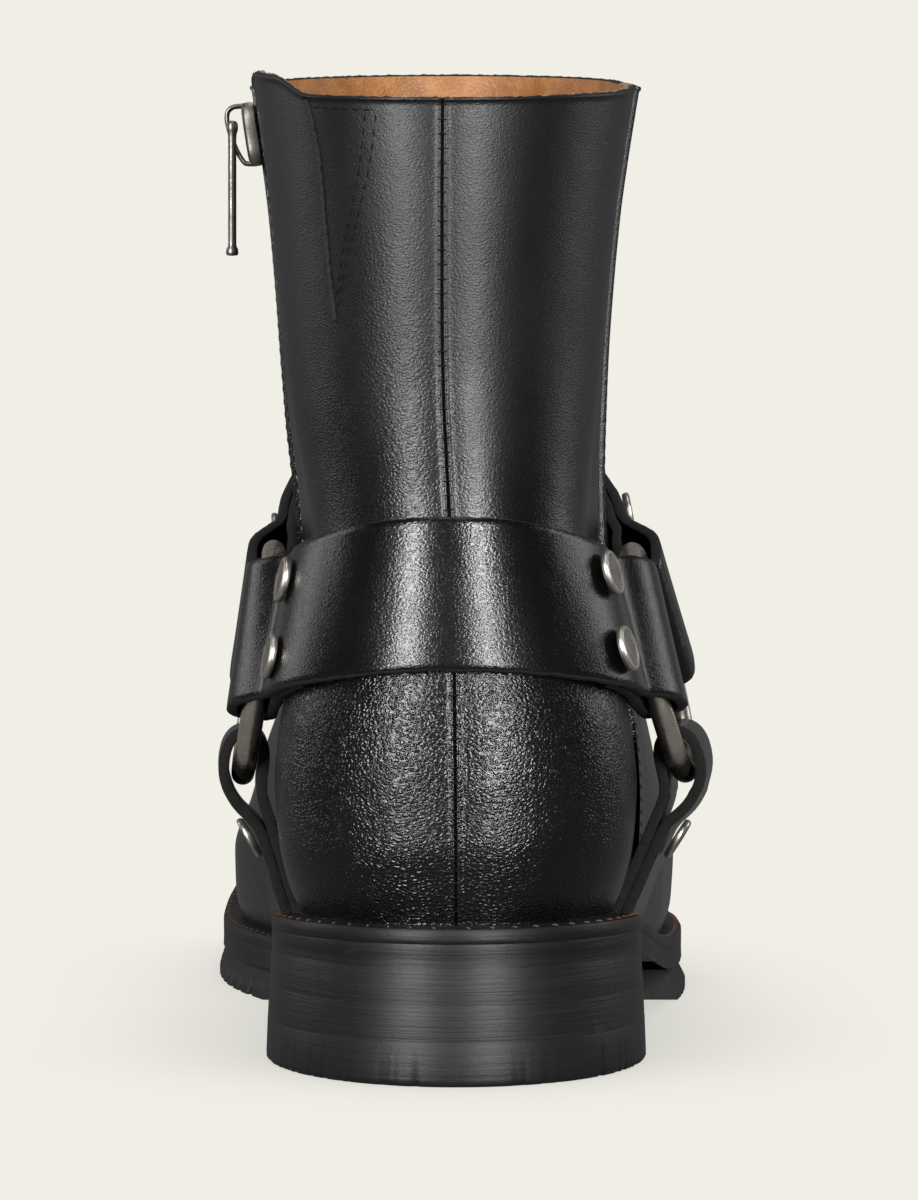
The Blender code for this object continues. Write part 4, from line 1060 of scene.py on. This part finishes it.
def strap(name, stations, width, replaced):
    """A strap carried through (middle, across, share of thickness) stations, with a ragged cut edge."""
    half = width / 2
    section = STRAP_FACE + STRAP_CUT
    section += [(x, -y, cut) for x, y, cut in reversed(STRAP_FACE)]
    section += [(-x, y, cut) for x, y, cut in reversed(STRAP_CUT)]
    rows = []
    for i, (middle, across, share) in enumerate(stations):
        thick = (STRAP / 2 + 0.15) * share
        before = stations[max(0, i - 1)][0]
        after = stations[min(len(stations) - 1, i + 1)][0]
        run = (after - before).normalized()
        side = (across - run * across.dot(run)).normalized()
        normal = run.cross(side)
        row = []
        for x, y, cut in section:
            ragged = 0.22 * noise.noise(middle * 0.55 + side * (9 * x)) + 0.12 * noise.noise(middle * 1.7)
            push = ragged * (1.0 if abs(x) > 0.95 else 0.0)
            row.append(middle + side * (x * half + push) + normal * (y * thick))
        rows.append(row)
    count = len(section)
    faces = capped_faces(len(rows), count)
    cut_here = [section[k][2] or section[(k + 1) % count][2] for k in range(count)]
    kinds = [1 if cut else 0 for _ in range(len(rows) - 1) for cut in cut_here] + [1, 1]
    grain = {"grain": np.full(len(rows) * count, STRAP_GRAIN), "shine": np.ones(len(rows) * count)}
    finishes = [strap_leather, raw_edge]
    made = piece(name, rows, faces, finishes, replaced, sharp=60, indices=kinds, values=grain)
    return turned_outward(made)


def softened(stations, rounds=8):
    """Stations with the kinks along the strap rounded off, and both ends kept."""
    for _ in range(rounds):
        middles = [station[0] for station in stations]
        for i in range(1, len(stations) - 1):
            middles[i] = stations[i][0] * 0.5 + (stations[i - 1][0] + stations[i + 1][0]) * 0.25
        stations = [(middle, across, share) for middle, (_, across, share) in zip(middles, stations)]
    return stations


def ring_strap(name, plane):
    """A strap from ring to ring, folded and doubled at both ends."""
    route = plane.route()
    medial_points, medial_lifts = folded_end(plane, route, STRAP_TAIL)
    lateral_points, lateral_lifts = folded_end(plane, route[::-1], STRAP_TAIL)
    outer = []
    for i, (middle, across, normal) in enumerate(route):
        lift = max(medial_lifts[i], lateral_lifts[len(route) - 1 - i])
        outer.append((middle + normal * lift, across, 1.0))
    stations = softened(medial_points + outer + lateral_points[::-1])
    return strap(name + "_leather", stations, plane.width, [name])


ring_strap("rear_strap", StrapPlane(REAR_SLOPE, -1, STRAP_WIDTH, STRAP_TAPER))
ring_strap("front_strap", StrapPlane(FRONT_SLOPE, 1, STRAP_WIDTH, STRAP_TAPER))


# Lower straps
# A narrower strap of the same leather hangs from each ring, doubled all the way down with one rivet
# through both layers, and its foot rests on the welt beside the upper.

LOWER_STRAP_WIDTH = 23.0
LOWER_STRAP_TAPER = 9.8
WHOLE_LENGTH = 1000.0

for side_name, ring in HARNESS_RINGS.items():
    plane = StrapPlane(-math.pi / 2, 1, LOWER_STRAP_WIDTH, LOWER_STRAP_TAPER)
    foot_edges = RING_STATION + LOWER_STRAP_WIDTH / 2 * np.array([-1.0, 0.0, 1.0])
    end = RING_HEIGHT - float(np.max(welt_bottom(foot_edges))) - WELT - 0.2
    outward = Vector((ring[0], 0.0, 0.0))
    foot, foot_lean = rest_line(plane.centre + plane.along * end, outward, plane.across, plane.width)
    found = []
    for i in range(61):
        distance = mix(plane.fold, end, i / 60)
        origin = plane.centre + plane.along * distance
        rod, rod_lean = plane.ring_line(ring, min(distance, plane.clear))
        share = 1 - max(0.0, distance - plane.clear) / (end - plane.clear)
        lean = mix(foot_lean, rod_lean, share)
        plain, _ = rest_line(origin, outward, plane.across, plane.width, lean)
        reach = max(plain + STRAP_REST, mix(foot + STRAP_REST, rod - STRAP - GAP, share))
        found.append((origin + outward * reach, plane.across + outward * lean, outward))
    order = with_normals(found)
    inner, lifts = folded_end(plane, order, WHOLE_LENGTH)
    outer = [(middle + normal * lift, across, 1.0) for (middle, across, normal), lift in zip(order, lifts)]
    name = f"lower_strap_{side_name}"
    strap(name + "_leather", softened(inner + outer, 24), plane.width, [name])


# Rings
# Round rings of 4.6 mm rod, plated in antique nickel that has worn and tarnished. Three straps hold each
# one, and it leans with the upper's side.

RING_STEPS = 112
ROD_SIDES = 20


def worn_metal(name, dark, bright, roughness, tarnish):
    """Plated metal, darkened in patches and rubbed bright between them."""
    made = Finish(name, bright, roughness, 1.0)
    patches = made.noise(4.2, 5, 0.65)
    specks = made.noise(0.7, 3, 0.7)
    share = (patches.ramp(0.38, 0.66) * tarnish + specks.ramp(0.55, 0.75) * 0.35).math("MINIMUM", 1.0)
    made.set("Base Color", made.blend(share, bright, dark))
    made.set("Roughness", roughness + share * 0.22)
    made.relief(patches * 0.10 + specks * 0.035)
    return made


ring_metal = worn_metal("ring_metal", (0.34, 0.28, 0.21), (0.86, 0.79, 0.69), 0.25, 0.5)
for side_name, (side, out, tilt, turn) in HARNESS_RINGS.items():
    normal = Vector((side, -math.tan(turn), math.tan(tilt))).normalized()
    first = normal.orthogonal().normalized()
    second = normal.cross(first)
    centre = Vector((side * out, RING_STATION, RING_HEIGHT))
    rows = []
    for i in range(RING_STEPS + 1):
        angle = 2 * math.pi * (i % RING_STEPS) / RING_STEPS
        arm = first * math.cos(angle) + second * math.sin(angle)
        row = []
        for k in range(ROD_SIDES):
            roll = 2 * math.pi * k / ROD_SIDES
            reach = RING_RADIUS + RING_ROD / 2 * math.cos(roll)
            row.append(centre + arm * reach + normal * (RING_ROD / 2 * math.sin(roll)))
        rows.append(row)
    faces = grid_faces(len(rows), ROD_SIDES, closed=True)
    name = f"ring_{side_name}"
    turned_outward(piece(name + "_metal", rows, faces, [ring_metal], [name]))


# Rivets
# Pressed steel caps with a rounded rim and a flat, darker middle, two through each end of the long straps
# and one through each lower strap. Each takes the place and axis of its CAD rivet.

# Columns: radius, height. The dark middle starts at the row MIDDLE_FROM.
RIVET_PROFILE = [(4.15, -0.35), (4.4, 0.1), (4.42, 0.55), (4.28, 0.88), (4.0, 1.02), (3.7, 1.0), (3.4, 0.88)]
RIVET_PROFILE += [(2.9, 0.84), (2.0, 0.90), (1.0, 0.95), (0.3, 0.96)]
MIDDLE_FROM = 5
SUNK = 0.25

rivet_metal = worn_metal("rivet_metal", (0.26, 0.22, 0.19), (0.72, 0.67, 0.61), 0.32, 0.55)
rivet_middle = worn_metal("rivet_middle", (0.13, 0.11, 0.095), (0.34, 0.31, 0.28), 0.36, 0.6)


def lathe(name, profile, base, axis, finishes, slot, replaced=(), body="boot", sides=36, inner_from=99):
    """A turned piece from (radius, height) points on an axis, with the last finish from inner_from on."""
    first = axis.orthogonal().normalized()
    second = axis.cross(first)
    rows = []
    for radius, height in profile:
        row = []
        for k in range(sides):
            angle = 2 * math.pi * k / sides
            row.append(base + axis * height + (first * math.cos(angle) + second * math.sin(angle)) * radius)
        rows.append(row)
    faces = capped_faces(len(rows), sides)
    kinds = np.repeat([1 if row >= inner_from else 0 for row in range(len(rows) - 1)], sides).tolist()
    kinds += [0, len(finishes) - 1]
    return turned_outward(piece(name, rows, faces, finishes, replaced, body, sharp=55, indices=kinds))


for name in sorted(nodes):
    if "_rivet_" in name:
        places = np.array([v.co for v in nodes[name].data.vertices]) / MM + (0.0, HEEL_CENTRE, 0.0)
        middle = places.mean(axis=0)
        axis = np.linalg.svd(places - middle)[2][2]
        axis = axis * math.copysign(1.0, axis[0] * middle[0])
        low = ((places - middle) @ axis).min()
        base = Vector(middle + axis * (low - SUNK))
        finishes = [rivet_metal, rivet_middle]
        head = (f"{name}_head", RIVET_PROFILE, base, Vector(axis), finishes, "metal", [name])
        lathe(*head, inner_from=MIDDLE_FROM)


# Zip tape and teeth
# Black woven tape sewn into the placket, with two rows of dark metal teeth that mesh along its middle.
# Every other tooth comes from the other side.

TOOTH_PITCH = 0.72
TOOTH_START = 0.4
TAPE_ACROSS = np.array([-3.7, -3.6, -1.6, 0.0, 1.6, 3.6, 3.7])
TAPE_LIFTS = np.array([-0.95, -0.42, -0.40, -0.35, -0.40, -0.42, -0.95])
# Columns: across the chain, along it, out from it.
TOOTH_CORNERS = (
    (-0.5, -0.24, -0.45),
    (2.0, -0.30, -0.45),
    (2.0, 0.30, -0.45),
    (-0.5, 0.24, -0.45),
    (-0.35, -0.18, 0.12),
    (1.75, -0.24, 0.18),
    (1.75, 0.24, 0.18),
    (-0.35, 0.18, 0.12),
)
TOOTH_FACES = ((0, 1, 2, 3), (7, 6, 5, 4), (0, 4, 5, 1), (1, 5, 6, 2), (2, 6, 7, 3), (3, 7, 4, 0))

zip_cloth = Finish("zip_cloth", (0.011, 0.011, 0.012), 0.85)
zip_cloth.relief(zip_cloth.noise(0.5, 2, 0.5, stretch=(1, 1, 2.5)) * 0.15)
zip_metal = worn_metal("zip_metal", (0.09, 0.08, 0.07), (0.30, 0.28, 0.26), 0.34, 0.6)

last_row = TOP_ROW - 0.12
tape_rows = []
for row in np.linspace(zip_row + 0.06, last_row, 90):
    turn = turn_for(row, -zip_angle(row), 1.0)
    tape_rows.append(skin(row, -zip_angle(row) - TAPE_ACROSS * turn, TAPE_LIFTS)[0])
faces = grid_faces(len(tape_rows), len(TAPE_ACROSS))
piece("zip_tape", np.array(tape_rows), faces, [zip_cloth], ["zip_chain"])

chain = seam_path(lambda share: mix(zip_row + 0.1, last_row, share), lambda row, share: -zip_angle(row), 300)
path, normals = np.array(chain[0]), np.array(chain[1])
steps = np.concatenate([[0.0], np.cumsum(np.linalg.norm(np.diff(path, axis=0), axis=1))])
tooth_points, tooth_faces = [], []
for i, along in enumerate(np.arange(TOOTH_START, steps[-1] - TOOTH_START, TOOTH_PITCH)):
    place = np.array([np.interp(along, steps, path[:, k]) for k in range(3)])
    ahead = np.array([np.interp(along + 0.3, steps, path[:, k]) for k in range(3)])
    out = unit(np.array([np.interp(along, steps, normals[:, k]) for k in range(3)]))
    run = unit(ahead - place)
    side = unit(np.cross(run, out)) * (1 if i % 2 else -1)
    first = len(tooth_points)
    for x, y, z in TOOTH_CORNERS:
        tooth_points.append(place + side * x + run * y + out * z)
    for face in TOOTH_FACES:
        tooth_faces.append([first + k for k in face])
turned_outward(piece("zip_teeth", tooth_points, tooth_faces, [zip_metal], ["zip_chain"]))


# Zip slider
# A cast metal slider, clamped round the teeth near the collar, narrow at its foot and forked at its head.
# An upright bail, cast as a flat strip, arches over it to hold the pull.

SLIDER_SHARE = 0.45
SLIDER_DROP = 8.6
SLIDER_WIDTH = 7.0
SLIDER_HALF = 6.25
# Columns: half width and height, as shares of the slider's width and of half its length.
SLIDER_OUTLINE = [(0.30, 1.0), (0.46, 0.8), (0.5, 0.45), (0.44, 0.0), (0.38, -0.5), (0.36, -0.85)]
SLIDER_OUTLINE += [(0.24, -1.0)]
# Columns: share of the outline, height out from the chain.
SLIDER_LEVELS = ((0.86, -0.9), (0.98, -0.7), (1.0, -0.2), (1.0, 0.9), (0.96, 1.4), (0.84, 1.75), (0.5, 1.85))
BAIL_STEPS = [0, 2.4, 4.2, 5.9, 8.5, 11.3, 14.1, 15.6, 17.4]
BAIL_HEIGHTS = [5.9, 6.0, 5.2, 3.6, 1.0, -1.8, -4.4, -5.6, -5.9]
BAIL_PROUD = [0.8, 3.1, 4.6, 5.0, 4.8, 4.2, 3.3, 2.5, 0.9]
BAIL_RADIUS = 0.5
BAIL_FLATNESS = 2.2

slider_height = mix(BACK_HEIGHT, FRONT_HEIGHT, SLIDER_SHARE) - SLIDER_DROP
slider_row = row_at_height(lambda row: -zip_angle(row), slider_height)
middle = Vector(skin(slider_row, [-zip_angle(slider_row)], LAP + GAP)[0][0])
above = Vector(skin(slider_row + 0.1, [-zip_angle(slider_row + 0.1)])[0][0])
below = Vector(skin(slider_row - 0.1, [-zip_angle(slider_row - 0.1)])[0][0])
up = (above - below).normalized()
out = Vector(skin(slider_row, [-zip_angle(slider_row)])[1][0])
out = (out - up * out.dot(up)).normalized()
ahead = out.cross(up)


def slider_point(across, height, proud):
    """A point from the slider's middle: across the chain, up it and out from it."""
    return middle + ahead * across + up * height + out * proud


loop = [(x * SLIDER_WIDTH, y * SLIDER_HALF) for x, y in SLIDER_OUTLINE]
loop += [(-x, y) for x, y in reversed(loop)]
rows = [[slider_point(x * share, y * share, proud) for x, y in loop] for share, proud in SLIDER_LEVELS]
faces = capped_faces(len(rows), len(loop))
turned_outward(piece("zip_slider_body", rows, faces, [zip_metal], ["zip_slider"]))


def tube(name, path, radius, replaced, body="boot", sides=14, flat=1.0, across=None):
    """A rod carried along a path, closed at both ends. flat widens it along the across direction."""
    rows = []
    for i, place in enumerate(path):
        run = (path[min(len(path) - 1, i + 1)] - path[max(0, i - 1)]).normalized()
        side = across or run.orthogonal()
        side = (side - run * side.dot(run)).normalized()
        other = run.cross(side)
        row = []
        for k in range(sides):
            angle = 2 * math.pi * k / sides
            row.append(place + side * (radius * flat * math.cos(angle)) + other * (radius * math.sin(angle)))
        rows.append(row)
    faces = capped_faces(len(rows), sides)
    return turned_outward(piece(name, rows, faces, [zip_metal], replaced, body, sharp=60))


bail = []
for step in np.linspace(BAIL_STEPS[0], BAIL_STEPS[-1], 40):
    height = float(curve(BAIL_STEPS, BAIL_HEIGHTS, step))
    bail.append(slider_point(0.0, height, float(curve(BAIL_STEPS, BAIL_PROUD, step))))
tube("zip_bail", bail, BAIL_RADIUS, ["zip_slider"], across=ahead, flat=BAIL_FLATNESS)


# Zip pull
# A slim turned rod of the same metal with a ball at its foot. It hangs from a pin through the bail and
# swings with its joint.

PIN_PROUD = 4.1
PIN_RISE = 1.5
PIN_RADIUS = 0.55
PIN_REACH = 0.6
PIN_TAIL = 1.0
ROD_RADIUS = 0.87
# Columns: radius, distance down from the pin.
ROD_PROFILE = [(0.4, -1.6), (0.9, -1.4), (1.15, -0.9), (1.2, -0.2), (1.1, 0.5), (0.88, 1.1), (0.84, 2.0)]
ROD_PROFILE += [(0.84, 22.9), (0.9, 23.6), (1.2, 24.1), (1.26, 24.9), (1.1, 25.3), (0.6, 25.4)]

pin = middle + out * PIN_PROUD + up * PIN_RISE
near = -ahead
rod_top = pin + near * (PIN_REACH + GAP + ROD_RADIUS)
down = Vector((0.0, 0.0, -1.0))
lathe("zip_pull_rod", ROD_PROFILE, rod_top, down, [zip_metal], "metal", ["zip_pull"], "pull", 20)
tube("zip_pull_pin", [pin + near * PIN_REACH, pin - near * PIN_TAIL], PIN_RADIUS, ["zip_pull"], "pull")


# Floor, light and camera
# A cream paper sweep that turns up far beyond the boot. It glows: cream to the camera, with a painted
# shadow darkening it close under the boot, and a dim grey in reflections. Two tall narrow lamps behind the
# heel make the streaks on the leather, with a broad lamp overhead and two dim ones beyond the toe. The
# camera stands behind the heel, level with the ankle and looking straight ahead.

CREAM = (0.875, 0.862, 0.790)
# Painted shadow: the floor's cream darkens to this colour close under the boot.
CREAM_PAINTED_SHADOW = (0.60, 0.59, 0.56)
REFLECTED_FLOOR = (0.15, 0.15, 0.148)
DIM_SKY = (0.055, 0.056, 0.058)
LAMP_WHITE = (0.985, 0.99, 1.0)
# How far from the boot, in metres, the floor's painted shadow reaches.
PAINTED_SHADOW_REACH = 0.07
SWEEP_BEND = 1.2
SWEEP_BACK = 2.2
SWEEP_STEPS = 12
# Columns: name, place and aim in metres, width, height, watts.
LAMPS = (
    ("key", (-0.84, -1.22, 0.45), (0.0, 0.0, 0.1), 0.15, 1.2, 28),
    ("key_right", (0.66, -1.33, 0.45), (0.0, 0.0, 0.1), 0.12, 1.2, 28),
    ("top", (0.0, -0.1, 1.9), (0.0, 0.05, 0.0), 1.0, 1.0, 8),
    ("side_left", (-1.5, 0.75, 0.65), (0.0, 0.08, 0.08), 0.6, 0.9, 3.5),
    ("side_right", (1.5, 0.75, 0.65), (0.0, 0.08, 0.08), 0.6, 0.9, 3.5),
)

floor = Finish("floor", (0.0, 0.0, 0.0), 1.0)
seen = floor.node("ShaderNodeLightPath", {}, {}, "Is Camera Ray")
# Painted shadow: to the camera the floor's cream is darkened where nearby surfaces enclose it, from ambient
# occlusion rather than from the lamps.
openness = floor.node("ShaderNodeAmbientOcclusion", {"samples": 12}, {"Distance": PAINTED_SHADOW_REACH}, "AO")
painted_shadow_colour = floor.blend((1.0 - openness).ramp(0.04, 0.75), CREAM, CREAM_PAINTED_SHADOW)
floor.set("Specular IOR Level", 0.0)
floor.set("Emission Color", floor.blend(seen, REFLECTED_FLOOR, painted_shadow_colour))
floor.set("Emission Strength", 1.0)
profile = [(-4.0, 0.0), (SWEEP_BACK, 0.0)]
for i in range(1, SWEEP_STEPS + 1):
    angle = math.pi / 2 * i / SWEEP_STEPS
    profile.append((SWEEP_BACK + SWEEP_BEND * math.sin(angle), SWEEP_BEND - SWEEP_BEND * math.cos(angle)))
profile.append((SWEEP_BACK + SWEEP_BEND, 6.0))
mesh = bpy.data.meshes.new("sweep")
corners = [(x, y, z) for y, z in profile for x in (-5.0, 5.0)]
mesh.from_pydata(corners, [], grid_faces(len(profile), 2).tolist())
mesh.materials.append(floor.material)
mesh.shade_smooth()
sweep = bpy.data.objects.new("sweep", mesh)
bpy.context.scene.collection.objects.link(sweep)

for name, place, aim, width, height, watts in LAMPS:
    data = bpy.data.lights.new(name, "AREA")
    data.shape = "RECTANGLE"
    data.size = width
    data.size_y = height
    data.energy = watts
    data.color = LAMP_WHITE
    lamp = bpy.data.objects.new(name, data)
    lamp.location = place
    lamp.rotation_euler = (Vector(aim) - Vector(place)).to_track_quat("-Z", "Y").to_euler()
    bpy.context.scene.collection.objects.link(lamp)

sky = bpy.data.worlds.new("sky")
sky.use_nodes = True
air = Looks(sky.node_tree)
camera_ray = air.node("ShaderNodeLightPath", {}, {}, "Is Camera Ray")
air.put(sky.node_tree.nodes["Background"].inputs["Color"], air.blend(camera_ray, DIM_SKY, CREAM))
bpy.context.scene.world = sky
bpy.context.scene.view_settings.view_transform = "Standard"

lens = bpy.data.cameras.new("camera")
lens.lens = 107.9
lens.sensor_width = 36
lens.clip_end = 50
camera = bpy.data.objects.new("camera", lens)
camera.location = (EYE - Vector((0.0, HEEL_CENTRE, 0.0))) * MM
camera.rotation_euler = (math.pi / 2, 0, 0)
bpy.context.scene.collection.objects.link(camera)
bpy.context.scene.camera = camera
